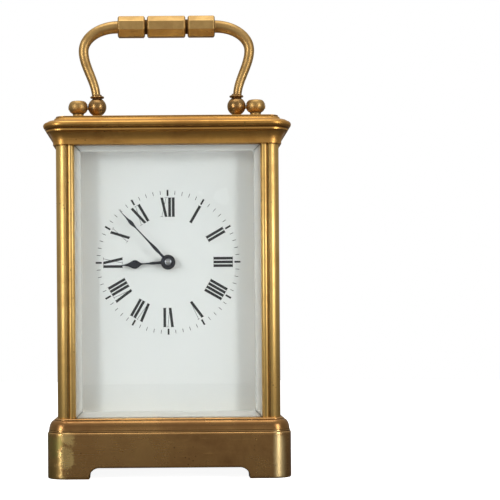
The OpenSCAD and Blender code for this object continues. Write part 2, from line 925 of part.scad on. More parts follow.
// Flat spiral made of half turns about two centres
module spiral(r0, step, halves, strip, h) {
    for (i = [0:halves - 1])
        translate([i % 2 == 0 ? 0 : step, 0, 0])
            rotate([0, 0, i % 2 == 0 ? 0 : 180])
                rotate_extrude(angle = 180)
                    translate([r0 + i * step, 0])
                        square([strip, h]);
}

module mainsprings() {
    color(blued)
        for (p = [time_at, strike_at])
            translate([p[0], 11.6, p[1]])
                rotate([90, 0, 0])
                    spiral(3.3, 0.6, 15, 0.35, 19.6);
}

// ---- going train ----

module centre_arbor() {
    color(steel)
            union() {
                bar_y(centre, [minute_hand_y[0] - 1.5, front_y - 0.9], hand_arbor_r);
                bar_y(centre, [front_y - 1, rear_y + 0.3], arbor_r);
                bar_y(centre, [inside_y + 0.15, -2.8], 1.4);
                bar_y(centre, [9, back_y - 0.15], 1.4);
                wheel_layer(centre, [14.9, 17.6])
                    pinion(low_n, inter_m, centre_low_turn);
                wheel_layer(centre, [rear_y, square_end])
                    square(1.25, center = true);
            }
}

module centre_wheel() {
    color(brass)
        wheel_layer(centre, centre_wheel_y)
            crossed_wheel(centre_n, centre_m, 0, 2.8, 1.4 + fit, 4);
}

module cannon_pinion() {
    color(steel)
        difference() {
            union() {
                wheel_layer(centre, cannon_y)
                    pinion(cannon_n, cannon_m, 0);
                bar_y(centre, [minute_hand_y[0] + 0.5, cannon_y[1]], cannon_r);
                bar_y(centre, [minute_hand_y[0], minute_hand_y[0] + 0.6], 1);
            }
            bar_y(centre, [minute_hand_y[0] - 1, cannon_y[1] + 1], hand_arbor_r + fit);
        }
}

module minute_wheel() {
    color(brass) {
        difference() {
            union() {
                wheel_layer(reverse_at, minute_wheel_y)
                    crossed_wheel(minute_n, cannon_m, minute_wheel_turn, 2.6, 0.7, 4);
                wheel_layer(reverse_at, [hour_wheel_y[0] - 0.2, minute_wheel_y[0] + 0.2])
                    pinion(reverse_n, reverse_m, 0);
                bar_y(reverse_at, [minute_wheel_y[1] - 0.2, front_y - 0.3], 1.6);
            }
            bar_y(reverse_at, [hour_wheel_y[0] - 1, front_y + 1], stud_r + play);
        }
    }
}

// Hour wheel with its pipe and the stepped snail that sets the number of blows
module hour_wheel() {
    steps = 12;
    snail_turn = 100;
    color(brass)
        difference() {
            union() {
                wheel_layer(centre, hour_wheel_y)
                    crossed_wheel(hour_n, reverse_m, hour_wheel_turn, 3, 1, 4);
                bar_y(centre, [hour_hand_y[0] - 0.2, hour_wheel_y[1]], hour_pipe_r);
                wheel_layer(centre, snail_y)
                    polygon([for (i = [0:steps - 1]) for (k = [0:3])
                        polar([0, 0], 4 + 0.42 * i, snail_turn + (i + k / 3) * 360 / steps)]);
                bar_y(centre, [snail_y[1] - 0.2, hour_wheel_y[0] + 0.2], 3.2);
            }
            bar_y(centre, [hour_hand_y[0] - 1, hour_wheel_y[1] + 1], cannon_r + play);
        }
}

module intermediate_wheel() {
    color(brass)
        union() {
            wheel_layer(inter_at, rear_wheel_y)
                crossed_wheel(inter_n, inter_m, 0, 2.8, 0.3, 5);
            wheel_layer(inter_at, [11.2, 16])
                pinion(low_n, great_m, inter_low_turn);
            arbor(inter_at);
        }
}

module third_wheel() {
    color(brass)
        union() {
            wheel_layer(third_at, third_wheel_y)
                crossed_wheel(third_n, third_m, 0, 2.4, 0.3, 4);
            wheel_layer(third_at, [centre_wheel_y[0] - 0.7, centre_wheel_y[1] + 0.7])
                pinion(high_n, centre_m, third_low_turn);
            arbor(third_at);
        }
}

// Contrate wheel: a ring whose teeth stand along the arbor, to drive the upright escape arbor
module contrate_wheel() {
    r = contrate_m * contrate_n / 2;
    tooth_w = 0.22;
    color(brass)
        union() {
            wheel_layer(contrate_at, [contrate_y[0], contrate_y[0] + 0.8])
                difference() {
                    circle(r + 0.5);
                    difference() {
                        circle(r - 1.4);
                        circle(2);
                        for (i = [0:3])
                            rotate(i * 90 + 45)
                                translate([0, -0.5])
                                    square([r, 1]);
                    }
                }
            wheel_layer(contrate_at, [contrate_y[0], contrate_y[1] - 0.45])
                difference() {
                    circle(r + 0.5);
                    circle(r - 0.5);
                }
            for (i = [0:contrate_n - 1])
                translate([contrate_at[0], contrate_y[1] - 0.5, contrate_at[1]])
                    rotate([0, -i * 360 / contrate_n, 0])
                        translate([r - 0.45, 0, -tooth_w / 2])
                            cube([0.9, 0.5, tooth_w]);
            wheel_layer(contrate_at, [third_wheel_y[0] - 0.8, third_wheel_y[1] + 0.8])
                pinion(high_n, third_m, contrate_low_turn);
            arbor(contrate_at, 0.7);
        }
}

// ---- platform escapement ----

module escape_wheel() {
    r = 4.2;
    color(brass)
        translate([escape_xy[0], escape_xy[1], 0])
            union() {
                translate([0, 0, escape_z])
                    linear_extrude(0.5)
                        difference() {
                            polygon([for (i = [0:escape_n - 1]) for (k = [0:3])
                                polar([0, 0], [r - 1, r, r, r - 1][k], (i + [0, 0.2, 0.36, 0.3][k]) * 360 / escape_n)]);
                            difference() {
                                circle(2.5);
                                circle(1.1);
                                for (i = [0:3])
                                    rotate(i * 90)
                                        translate([0, -0.3])
                                            square([3, 0.6]);
                            }
                        }
                translate([0, 0, contrate_at[1] + contrate_m * contrate_n / 2 - 0.45])
                    linear_extrude(0.9)
                        pinion(high_n, contrate_m, -90 + 180 / high_n);
                translate([0, 0, 114])
                    cylinder(h = escape_z + 0.8 - 114, r = 0.45);
                translate([0, 0, 113])
                    cylinder(h = escape_z + 1.9 - 113, r = 0.25);
            }
}

module platform() {
    color(gilt)
        difference() {
            union() {
                translate([-16, front_y, platform_z])
                    cube([32, rear_y - front_y, platform_t]);
                translate([escape_xy[0] - 1.5, escape_xy[1] + 2.4, 112.8])
                    cube([3, 1.6, platform_z - 112.8]);
                translate([escape_xy[0] - 1.5, contrate_y[1] + 0.1, 112.8])
                    cube([3, escape_xy[1] + 2.5 - contrate_y[1], 1]);
                translate([escape_xy[0] - 1.3, escape_xy[1] - 7, escape_z + 1.2])
                    cube([2.6, 8.3, 1]);
                translate([escape_xy[0] - 1.3, escape_xy[1] - 7, platform_z])
                    cube([2.6, 2.2, escape_z + 1.4 - platform_z]);
                translate([lever_xy[0] - 3.4, lever_xy[1] + 2.6, platform_z])
                    cube([2.2, 2.2, escape_z + 2.2 - platform_z]);
                translate([lever_xy[0] - 3.4, lever_xy[1] - 1.1, escape_z + 1.2])
                    cube([4.5, 5.9, 1]);
            }
            translate([escape_xy[0], escape_xy[1], 113.9])
                cylinder(h = escape_z - 0.2 - 113.9, r = 0.6);
            translate([escape_xy[0], escape_xy[1], 110])
                cylinder(h = 30, r = 0.25 + play);
            translate([lever_xy[0], lever_xy[1], platform_z - 1])
                cylinder(h = 10, r = 0.3 + play);
            translate([balance_xy[0], balance_xy[1], platform_z - 1])
                cylinder(h = 10, r = 0.3 + play);
            for (x = platform_screw_x)
                for (y = [front_y + plate_t / 2, back_y + plate_t / 2])
                    translate([x, y, platform_z - 1])
                        cylinder(h = platform_t + 2, r = 0.75);
        }
}

// Lever: two pallets beside the escape wheel and a fork beside the balance staff
module pallet_lever() {
    color(steel)
        translate([lever_xy[0], lever_xy[1], 0])
            union() {
                translate([0, 0, escape_z])
                    linear_extrude(0.6)
                        union() {
                            circle(0.5);
                            translate([-5.4, -0.35])
                                square([5.4, 0.7]);
                            for (s = [-1, 1]) {
                                polygon([[-0.7, 0], [0.2, 0], [0.3, s * 2.4], [2, s * 3.9], [1.3, s * 4.2], [-0.5, s * 2.6]]);
                                polygon([[-5.2, s * 0.3], [-5.2, s * 0.75], [-6.3, s * 0.8], [-6.3, s * 0.5]]);
                            }
                        }
                translate([0, 0, platform_z + 0.4])
                    cylinder(h = escape_z + 2 - platform_z - 0.4, r = 0.3);
            }
}

module balance_wheel() {
    color(brass)
        translate([balance_xy[0], balance_xy[1], 0])
            union() {
                translate([0, 0, balance_z])
                    linear_extrude(1.1)
                        difference() {
                            circle(balance_r);
                            difference() {
                                circle(balance_r - 0.9);
                                circle(1);
                                translate([-balance_r, -0.45])
                                    square([2 * balance_r, 0.9]);
                            }
                        }
                for (a = [20, 55, 125, 160, 200, 235, 305, 340])
                    rotate([0, 0, a])
                        translate([balance_r - 0.2, 0, balance_z + 0.55])
                            rotate([0, 90, 0])
                                cylinder(h = 0.8, r = 0.4);
                translate([0, 0, platform_z + 0.4])
                    cylinder(h = cock_z + 0.7 - platform_z, r = 0.3);
            }
}

module hairspring() {
    color(blued)
        translate([balance_xy[0], balance_xy[1], balance_z + 1.6])
            spiral(0.8, 0.22, 13, 0.1, 0.4);
}

module balance_cock() {
    color(gilt)
        difference() {
            union() {
                translate([balance_xy[0] - 1.6, balance_xy[1], cock_z])
                    cube([3.2, 12.2, 1.1]);
                translate([balance_xy[0], balance_xy[1], cock_z])
                    cylinder(h = 1.1, r = 2.6);
                translate([balance_xy[0] - 4, balance_xy[1] + 9.6, platform_z + platform_t])
                    cube([8, 5, cock_z + 1.1 - platform_z - platform_t]);
            }
            translate([balance_xy[0], balance_xy[1], cock_z - 1])
                cylinder(h = 4, r = 0.3 + play);
        }
}

// ---- striking work ----

module pin_wheel() {
    pins = 8;
    color(brass)
        union() {
            wheel_layer(pin_at, rear_wheel_y)
                crossed_wheel(pin_n, pin_m, 0, 2.8, 0.3, 4);
            for (i = [0:pins - 1])
                bar_y(polar(pin_at, 9.6, 11 + i * 360 / pins), [rear_wheel_y[1] - 0.3, 18.4], 0.35);
            wheel_layer(pin_at, [11.2, 16])
                pinion(low_n, great_m, pin_low_turn);
            arbor(pin_at);
        }
}

// Strike third wheel, with the gathering pallet on the front end of its arbor
module strike_third_wheel() {
    color(brass)
        union() {
            wheel_layer(strike_third_at, strike_third_y)
                crossed_wheel(strike_n, strike_third_m, 0, 2.2, 0.3, 4);
            wheel_layer(strike_third_at, [15.4, 17.6])
                pinion(high_n, pin_m, strike_third_low_turn);
            arbor(strike_third_at, 0.8);
            bar_y(strike_third_at, [snail_y[0], inside_y + 0.4], 0.8);
            wheel_layer(strike_third_at, snail_y) {
                circle(1.5);
                polygon([[-0.7, 0], [0.7, 0], [0.25, 3], [-0.25, 3]]);
            }
        }
}

module warning_wheel() {
    color(brass)
        union() {
            wheel_layer(warning_at, warning_y)
                crossed_wheel(strike_n, warning_m, 0, 2, 0.3, 4);
            wheel_layer(warning_at, [strike_third_y[0] - 0.6, strike_third_y[1] + 0.6])
                pinion(high_n, strike_third_m, warning_low_turn);
            arbor(warning_at, 0.7);
        }
}

module fly() {
    color(steel)
        union() {
            wheel_layer(fly_at, [warning_y[0] - 0.6, warning_y[1] + 0.6])
                pinion(high_n, warning_m, fly_low_turn);
            arbor(fly_at, 0.6);
            wheel_layer(fly_at, [2, 15])
                square([12, 0.5], center = true);
            bar_y(fly_at, [2, 15], 1.1);
        }
}

// Hammer: a tail over the pins, a stem behind the back plate and a head beside the gong
module hammer() {
    head = [-25.6, 66];
    tail_a = heading(hammer_at, pin_at);
    color(steel)
        union() {
            bar_y(hammer_at, [inside_y + 0.15, back_y - 0.15], 0.8);
            bar_y(hammer_at, [front_y + 0.2, 26.4], pivot_r);
            wheel_layer(hammer_at, [17.4, 18.6])
                rotate(tail_a)
                    translate([0, -0.5])
                        square([5.6, 1]);
            bar_y(hammer_at, [17.2, 18.8], 1.5);
            bar_y(hammer_at, [24.4, 27], 1.5);
            wheel_layer(head, [25.2, 26.2])
                rotate(heading(head, hammer_at))
                    translate([0, -0.6])
                        square([norm(hammer_at - head), 1.2]);
            translate([head[0] - 3, 25, head[1]])
                rotate([0, 90, 0])
                    cylinder(h = 6, r = 2.2);
        }
}

// Rack: a toothed sector under the gathering pallet and a tail that falls on the snail
module strike_rack() {
    sector_r = norm(strike_third_at - rack_at) - 3.3;
    start = heading(rack_at, strike_third_at) - 2;
    color(steel)
        difference() {
            union() {
                wheel_layer(rack_at, snail_y) {
                    circle(2.2);
                    polygon(concat(
                        [for (i = [0:9]) each [
                            polar([0, 0], sector_r - 0.7, start + i * 1.7), polar([0, 0], sector_r, start + 0.3 + i * 1.7)
                        ]],
                        curve(0, 0, sector_r - 2.4, sector_r - 2.4, start + 17, start, 6)
                    ));
                    rotate(start + 5)
                        translate([0, -0.7])
                            square([sector_r - 1.5, 1.4]);
                    rotate(heading(rack_at, [centre[0] - 10.6, centre[1]]))
                        translate([0, -0.5])
                            square([norm([centre[0] - 10.6, centre[1]] - rack_at), 1]);
                }
                bar_y(rack_at, [snail_y[1] - 0.1, front_y - 0.2], 1.4);
            }
            bar_y(rack_at, [snail_y[0] - 1, front_y + 1], stud_r + play);
        }
}

// ---- gong ----

module gong() {
    color(blued)
        translate([gong_at[0], gong_y[1], gong_at[1]])
            rotate([90, 0, 0])
                union() {
                    spiral(gong_r, gong_step, 4, gong_wire, gong_y[1] - gong_y[0]);
                    translate([gong_r + 4 * gong_step, 0, 0])
                        cube([gong_wire, block_z[0] - gong_at[1] + 1, gong_y[1] - gong_y[0]]);
                }
}

module gong_block() {
    x = gong_at[0] + gong_r + 4 * gong_step + gong_wire / 2;
    color(brass)
        difference() {
            translate([x - 4.2, rear_y, block_z[0]])
                cube([8.4, 9.6, block_z[1] - block_z[0]]);
            translate([x - gong_wire / 2 - fit, gong_y[0] - fit, block_z[0] - 1])
                cube([gong_wire + 2 * fit, gong_y[1] - gong_y[0] + 2 * fit, 2.2]);
        }
}

base_moulding();
base_floor();
pillar_front_left();
pillar_front_right();
pillar_rear_left();
pillar_rear_right();
case_screws();
cornice();
glass_front();
glass_left();
glass_right();
glass_top();
rear_door_frame();
rear_door_glass();
rear_door_knob();
handle_bail();
handle_grip();
handle_posts();
handle_pivots();
dial_plate();
dial_feet();
hour_hand();
minute_hand();
hand_nut();
front_plate();
back_plate();
movement_pillars();
plate_screws();
time_barrel();
time_barrel_arbor();
time_ratchet();
time_click();
strike_barrel();
strike_barrel_arbor();
strike_ratchet();
strike_click();
mainsprings();
centre_arbor();
centre_wheel();
cannon_pinion();
minute_wheel();
hour_wheel();
intermediate_wheel();
third_wheel();
contrate_wheel();
escape_wheel();
platform();
pallet_lever();
balance_wheel();
hairspring();
balance_cock();
pin_wheel();
strike_third_wheel();
warning_wheel();
fly();
hammer();
strike_rack();
gong();
gong_block();
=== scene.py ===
import math
import bmesh
import bpy
import numpy as np
from mathutils import Euler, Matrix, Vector


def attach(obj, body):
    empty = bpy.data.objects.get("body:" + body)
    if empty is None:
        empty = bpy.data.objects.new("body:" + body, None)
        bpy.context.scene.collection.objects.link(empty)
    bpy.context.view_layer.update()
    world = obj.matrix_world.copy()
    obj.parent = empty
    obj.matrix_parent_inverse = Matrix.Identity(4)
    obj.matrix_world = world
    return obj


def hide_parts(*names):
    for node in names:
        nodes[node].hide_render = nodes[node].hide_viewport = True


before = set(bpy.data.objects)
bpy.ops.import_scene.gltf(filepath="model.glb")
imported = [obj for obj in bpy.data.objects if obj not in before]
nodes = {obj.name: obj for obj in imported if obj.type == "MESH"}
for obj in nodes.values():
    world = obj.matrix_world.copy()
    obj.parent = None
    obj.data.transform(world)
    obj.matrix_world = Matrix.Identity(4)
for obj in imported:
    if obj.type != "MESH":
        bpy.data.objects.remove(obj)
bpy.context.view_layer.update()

mm = 0.001


def softOutline(points, soft, closed=True, steps=4):
    # Rounds each corner P with the curve (1-s)(1-s)A + 2s(1-s)P + ssC, where A and C lie
    # soft before and after P. The second array is how sharply the outline turns there:
    # 1 at a proud edge, -1 in a recess, 0 on a flat.
    p = np.asarray(points, float)
    before, after = np.roll(p, 1, 0) - p, np.roll(p, -1, 0) - p
    lengthA = np.linalg.norm(before, axis=1)[:, None] + 1e-9
    lengthC = np.linalg.norm(after, axis=1)[:, None] + 1e-9
    a = p + before / lengthA * np.minimum(soft, 0.4 * lengthA)
    c = p + after / lengthC * np.minimum(soft, 0.4 * lengthC)
    farA = p + before / lengthA * np.minimum(4 * soft, 0.49 * lengthA)
    farC = p + after / lengthC * np.minimum(4 * soft, 0.49 * lengthC)
    cross = before[:, 1] * after[:, 0] - before[:, 0] * after[:, 1]
    turn = np.arctan2(cross, -(before * after).sum(1)) / math.radians(70)
    s = np.linspace(0, 1, steps)[None, :, None]
    arc = (1 - s) ** 2 * a[:, None] + 2 * s * (1 - s) * p[:, None] + s ** 2 * c[:, None]
    rows = np.concatenate([farA[:, None], arc, farC[:, None]], 1)
    relief = np.repeat(np.clip(turn, -1, 1)[:, None], steps + 2, 1)
    relief[:, 0] = relief[:, -1] = 0
    if not closed:
        rows, relief = rows[1:-1], relief[1:-1]
        rows = np.concatenate([p[:1], rows.reshape(-1, 2), p[-1:]])
        return rows, np.concatenate([[0], relief.ravel(), [0]])
    return rows.reshape(-1, 2), relief.ravel()


def ellipseArc(cx, cy, rx, ry, fromAngle, toAngle, steps):
    # Points (cx + rx cos t, cy + ry sin t)
    t = np.radians(np.linspace(fromAngle, toAngle, steps + 1))
    return np.stack([cx + rx * np.cos(t), cy + ry * np.sin(t)], 1)


def gridFaces(rows, columns, closeRows, closeColumns):
    # Index table of the quads between neighbouring rows and columns of a grid
    r = np.arange(rows if closeRows else rows - 1)[:, None]
    c = np.arange(columns if closeColumns else columns - 1)[None, :]
    rNext, cNext = (r + 1) % rows, (c + 1) % columns
    corners = [r * columns + c, rNext * columns + c, rNext * columns + cNext, r * columns + cNext]
    return np.stack(corners, -1).reshape(-1, 4)


def cappedGrid(grid, relief=None, closeRows=False):
    # A tube of rings. Open ends get one more ring that sits on the ring's own middle.
    grid = np.asarray(grid, float)
    relief = np.zeros(grid.shape[:2]) if relief is None else np.broadcast_to(relief, grid.shape[:2])
    if not closeRows:
        first = np.repeat(grid[:1].mean(1, keepdims=True), grid.shape[1], 1)
        last = np.repeat(grid[-1:].mean(1, keepdims=True), grid.shape[1], 1)
        grid = np.concatenate([first, grid, last])
        relief = np.concatenate([relief[:1] * 0, relief, relief[-1:] * 0])
    return grid.reshape(-1, 3), gridFaces(grid.shape[0], grid.shape[1], closeRows, True), relief.ravel()


def putPiece(name, shells, body, material, replaced=(), sharp=32):
    # Joins the shells (points in millimetres, quads, relief) in one mesh, welds the seams and
    # poles, turns the faces outwards and smooths them up to the sharp angle
    start, points, faces, relief = 0, [], [], []
    for shellPoints, shellFaces, shellRelief in shells:
        points.append(shellPoints)
        faces.append(shellFaces + start)
        relief.append(shellRelief)
        start += len(shellPoints)
    points, faces, relief = np.concatenate(points) * mm, np.concatenate(faces), np.concatenate(relief)
    mesh = bpy.data.meshes.new(name)
    mesh.vertices.add(len(points))
    mesh.vertices.foreach_set("co", points.astype(np.float32).ravel())
    mesh.loops.add(faces.size)
    mesh.loops.foreach_set("vertex_index", faces.astype(np.int32).ravel())
    mesh.polygons.add(len(faces))
    mesh.polygons.foreach_set("loop_start", np.arange(0, faces.size, 4, dtype=np.int32))
    mesh.update(calc_edges=True)
    mesh.attributes.new("relief", "FLOAT", "POINT").data.foreach_set("value", relief.astype(np.float32))
    work = bmesh.new()
    work.from_mesh(mesh)
    bmesh.ops.remove_doubles(work, verts=work.verts, dist=2e-7)
    bmesh.ops.recalc_face_normals(work, faces=work.faces)
    work.to_mesh(mesh)
    work.free()
    mesh.polygons.foreach_set("use_smooth", np.ones(len(mesh.polygons), bool))
    mesh.set_sharp_from_angle(angle=math.radians(sharp))
    mesh.materials.append(material)
    piece = bpy.data.objects.new(name, mesh)
    bpy.context.scene.collection.objects.link(piece)
    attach(piece, body)
    if replaced:
        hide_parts(*replaced)
    return piece


def turned(outline, at, along, soft=0.15, around=64, closed=False):
    # Surface of revolution: an outline of [radius, height] carried round an axis through at.
    # along is "x", "y" or "z", and heights run that way.
    rows, relief = softOutline(outline, soft, closed)
    turn = np.linspace(0, 2 * np.pi, around, endpoint=False)
    radius = np.maximum(rows[:, :1], 0)
    a, b, h = radius * np.cos(turn), radius * np.sin(turn), np.repeat(rows[:, 1:], around, 1)
    parts = {"x": (h, a, b), "y": (a, h, b), "z": (a, b, h)}[along]
    return cappedGrid(np.stack(parts, -1) + np.asarray(at, float), relief[:, None])


def bentRod(path, radii, depth, around=28):
    # Round rod whose path lies in the XZ plane: ring i is c + r cos(v) n + r sin(v) y, where n is
    # square to the path
    path, radii = np.asarray(path, float), np.asarray(radii, float)
    tangent = np.gradient(path, axis=0)
    tangent /= np.linalg.norm(tangent, axis=1)[:, None]
    v = np.linspace(0, 2 * np.pi, around, endpoint=False)[None]
    x = path[:, :1] + radii[:, None] * np.cos(v) * tangent[:, 1:]
    z = path[:, 1:] - radii[:, None] * np.cos(v) * tangent[:, :1]
    y = depth + radii[:, None] * np.sin(v) + 0 * x
    return cappedGrid(np.stack([x, y, z], -1))


class Field:
    # One output of a shader node, with arithmetic
    def __init__(self, finish, socket):
        self.finish, self.socket = finish, socket

    def __add__(self, other):
        return self.finish.math("ADD", self, other)

    def __radd__(self, other):
        return self.finish.math("ADD", other, self)

    def __sub__(self, other):
        return self.finish.math("SUBTRACT", self, other)

    def __rsub__(self, other):
        return self.finish.math("SUBTRACT", other, self)

    def __mul__(self, other):
        return self.finish.math("MULTIPLY", self, other)


class Finish:
    # A material and the nodes behind it
    def __init__(self, name):
        self.material = bpy.data.materials.new(name)
        self.material.use_nodes = True
        self.tree = self.material.node_tree
        self.tree.nodes.clear()
        self.place = self.node("ShaderNodeTexCoord", output="Object")

    def node(self, kind, settings=None, inputs=None, output=0):
        made = self.tree.nodes.new(kind)
        for key, value in (settings or {}).items():
            if key == "stops":
                stops = made.color_ramp.elements
                while len(stops) < len(value):
                    stops.new(0.5)
                for stop, (position, shade) in zip(stops, value):
                    stop.position, stop.color = position, (shade, shade, shade, 1)
            else:
                setattr(made, key, value)
        for key, value in (inputs or {}).items():
            if isinstance(value, Field):
                self.tree.links.new(value.socket, made.inputs[key])
            else:
                made.inputs[key].default_value = value
        return Field(self, made.outputs[output])

    def math(self, operation, a, b=0.0):
        return self.node("ShaderNodeMath", {"operation": operation}, {0: a, 1: b})

    def blend(self, share, a, b):
        # Colour a where share is 0 and colour b where it is 1
        a, b = [value if isinstance(value, Field) else (*value, 1) for value in (a, b)]
        return self.node("ShaderNodeMix", {"data_type": "RGBA"}, {0: share, 6: a, 7: b}, 2)

    def ramp(self, value, *stops):
        # Grey between the stops, each a (position, shade)
        return self.node("ShaderNodeValToRGB", {"stops": stops}, {0: value})

    def stretched(self, factors):
        # Object coordinates with each axis scaled, for grain and scratches
        return self.node("ShaderNodeVectorMath", {"operation": "MULTIPLY"}, {0: self.place, 1: factors})

    def noise(self, scale, detail=4, rough=0.55, place=None, distort=0.0):
        return self.node("ShaderNodeTexNoise", None, {
            "Vector": place or self.place, "Scale": scale, "Detail": detail, "Roughness": rough,
            "Distortion": distort})

    def spots(self, scale, place=None):
        return self.node("ShaderNodeTexVoronoi", None, {"Vector": place or self.place, "Scale": scale})

    def split(self):
        at = self.tree.nodes.new("ShaderNodeSeparateXYZ")
        self.tree.links.new(self.place.socket, at.inputs[0])
        return [Field(self, socket) for socket in at.outputs]

    def surface(self, settings, links, height=None, bumpDepth=0.00002, bumpStrength=0.5):
        shader = self.tree.nodes.new("ShaderNodeBsdfPrincipled")
        for key, value in settings.items():
            shader.inputs[key].default_value = value
        for key, value in links.items():
            self.tree.links.new(value.socket, shader.inputs[key])
        if height is not None:
            bump = self.node("ShaderNodeBump", None, {
                "Height": height, "Strength": bumpStrength, "Distance": bumpDepth})
            self.tree.links.new(bump.socket, shader.inputs["Normal"])
        return Field(self, shader.outputs[0])

    def wear(self, shader):
        # Makes the shader the surface of the material, and gives the material
        end = self.tree.nodes.new("ShaderNodeOutputMaterial")
        self.tree.links.new(shader.socket, end.inputs["Surface"])
        return self.material


def agedBrass(name, look, stain=None):
    # Old lacquered brass: a broad drift between two golds, brown tarnish in patches, painted shade that
    # darkens the recesses towards near-black, rubbed edges, fine brushing along the grain, hairline
    # scratches and pits. A stain changes the colour and the roughness last.
    f = Finish(name)
    drift = f.ramp(f.noise(look["driftScale"], 3), (0.3, 0), (0.7, 1))
    patches = f.ramp(f.noise(look["patchScale"], 6, 0.62, distort=0.4), look["patchFrom"], look["patchTo"])
    brushed = f.noise(1, 3, 0.6, f.stretched(look["grain"]))
    hair = f.ramp(f.noise(1, 2, 0.5, f.stretched(look["scratch"])), (0.66, 0), (0.70, 1))
    cross = f.ramp(f.noise(1, 2, 0.5, f.stretched(look["scratch"][::-1])), (0.68, 0), (0.72, 1))
    pits = f.ramp(f.spots(look["pitScale"]), (0.05, 1), (0.16, 0))
    pitField = f.ramp(f.noise(70, 2), (0.5, 0), (0.62, 1))
    pits = pits * pitField
    relief = f.node("ShaderNodeAttribute", {"attribute_name": "relief"}, output="Fac")
    # Painted shade: where the outline turns into a recess the colour is blended towards the near-black dark
    # colour
    recess = f.ramp(relief * -1, (0.12, 0), (0.6, 1))
    edge = f.ramp(relief, (0.25, 0), (0.8, 1))
    base = f.blend(drift, look["bright"], look["mid"])
    base = f.blend(patches * look["tarnish"], base, look["brown"])
    base = f.blend(brushed * 0.22, base, look["brown"])
    base = f.blend(hair * look["scratched"], base, look["bright"])
    base = f.blend(cross * look["scratched"] * 0.7, base, look["bright"])
    base = f.blend(pits * 0.7, base, look["dark"])
    base = f.blend(recess * 0.85, base, look["dark"])
    base = f.blend(edge * look["rub"], base, look["bright"])
    rough = look["rough"] + drift * 0.05 + patches * 0.1 + brushed * 0.1
    rough = rough + recess * 0.2 + pits * 0.2 - edge * 0.06
    height = brushed * 0.5 - hair * 0.6 - cross * 0.5 - pits * 1.2 + f.noise(900, 2) * 0.3
    if stain:
        base, rough = stain(f, base, rough)
    return f.wear(f.surface({"Metallic": 1.0, "Specular Tint": (1, 0.95, 0.85, 1)},
                            {"Base Color": base, "Roughness": rough}, height, look["bumpDepth"], 0.45))


pillarLook = {
    "bright": (0.84, 0.57, 0.20), "mid": (0.70, 0.45, 0.14), "brown": (0.45, 0.25, 0.075),
    "dark": (0.075, 0.038, 0.014), "driftScale": 42, "patchScale": 70, "patchFrom": (0.46, 0),
    "patchTo": (0.72, 1), "tarnish": 0.5, "grain": (1900, 1900, 26), "scratch": (60, 700, 2400),
    "pitScale": 420, "rub": 0.4, "rough": 0.30, "scratched": 0.35, "bumpDepth": 0.000018,
}
mouldingLook = {
    "bright": (0.86, 0.49, 0.135), "mid": (0.68, 0.345, 0.080), "brown": (0.33, 0.145, 0.036),
    "dark": (0.06, 0.028, 0.010), "driftScale": 24, "patchScale": 55, "patchFrom": (0.42, 0),
    "patchTo": (0.68, 1), "tarnish": 0.7, "grain": (24, 24, 1500), "scratch": (90, 900, 2600),
    "pitScale": 380, "rub": 0.55, "rough": 0.27, "scratched": 0.35, "bumpDepth": 0.000018,
}
handleLook = {
    "bright": (0.70, 0.45, 0.17), "mid": (0.55, 0.34, 0.115), "brown": (0.30, 0.165, 0.055),
    "dark": (0.05, 0.026, 0.011), "driftScale": 60, "patchScale": 120, "patchFrom": (0.40, 0),
    "patchTo": (0.66, 1), "tarnish": 0.5, "grain": (5000, 5000, 5000), "scratch": (120, 900, 2200),
    "pitScale": 500, "rub": 0.4, "rough": 0.33, "scratched": 0.12, "bumpDepth": 0.0000015,
}
plateLook = {
    "bright": (0.74, 0.56, 0.24), "mid": (0.60, 0.43, 0.17), "brown": (0.40, 0.27, 0.10),
    "dark": (0.10, 0.06, 0.02), "driftScale": 50, "patchScale": 90, "patchFrom": (0.5, 0),
    "patchTo": (0.75, 1), "tarnish": 0.4, "grain": (700, 60, 700), "scratch": (200, 1200, 2600),
    "pitScale": 700, "rub": 0.3, "rough": 0.2, "scratched": 0.3, "bumpDepth": 0.000018,
}
wheelLook = dict(plateLook, bright=(0.86, 0.63, 0.24), mid=(0.74, 0.51, 0.18), rough=0.16, tarnish=0.3,
                 grain=(900, 90, 900), driftScale=120)
print("brass looks set")


baseLook = {
    **mouldingLook,
    "bright": (0.74, 0.43, 0.155), "mid": (0.50, 0.265, 0.092), "brown": (0.24, 0.112, 0.040),
    "tarnish": 0.75, "grain": (20, 20, 1300), "rough": 0.18, "scratched": 0.6, "bumpDepth": 0.000007,
}


def baseStain(f, base, rough):
    # A green bloom on the left front corner with a ragged bare patch beside it where the lacquer
    # has gone, a painted highlight strip down the right corners, and a browner shoulder. Here and in
    # bailStain a place is scaled before its ramp, whose positions lie between 0 and 1: 0.415
    # after * 10 is 41.5 mm, and 0.765 after * 5 is 153 mm.
    x, y, z = f.split()
    ragged = f.noise(110, 5, 0.65) * 0.014 - 0.007
    front = f.ramp((y * -1 + ragged) * 10, (0.24, 0), (0.32, 1))
    left = f.ramp((x * -1 + ragged) * 10, (0.415, 0), (0.43, 1)) * front
    low = f.ramp((z + ragged * 0.6) * 10, (0.165, 1), (0.19, 0))
    bloom = f.ramp(f.noise(85, 6, 0.7), (0.40, 0), (0.62, 1))
    green = left * low * (0.35 + bloom * 0.65)
    bare = f.ramp((x * -1 + ragged * 1.6) * 10, (0.375, 0), (0.39, 1)) * (1 - left) * low * front
    flaked = f.ramp(f.noise(210, 4, 0.6), (0.42, 0), (0.5, 1))
    # Painted highlight: the colour is lifted to a pale gold in a strip down the right corners of the base
    strip = f.ramp((x + ragged * 0.15) * 10, (0.398, 0), (0.41, 1), (0.438, 1), (0.452, 0)) * low
    base = f.blend(strip * 0.75, base, (0.98, 0.74, 0.36))
    shoulder = f.ramp(z * 10, (0.185, 0), (0.195, 1), (0.222, 1), (0.228, 0))
    colour = f.blend(shoulder * 0.45, base, (0.25, 0.115, 0.040))
    colour = f.blend(green * 0.85, colour, (0.27, 0.26, 0.075))
    return f.blend(bare * flaked * 0.9, colour, (1.0, 0.70, 0.27)), rough + green * 0.12


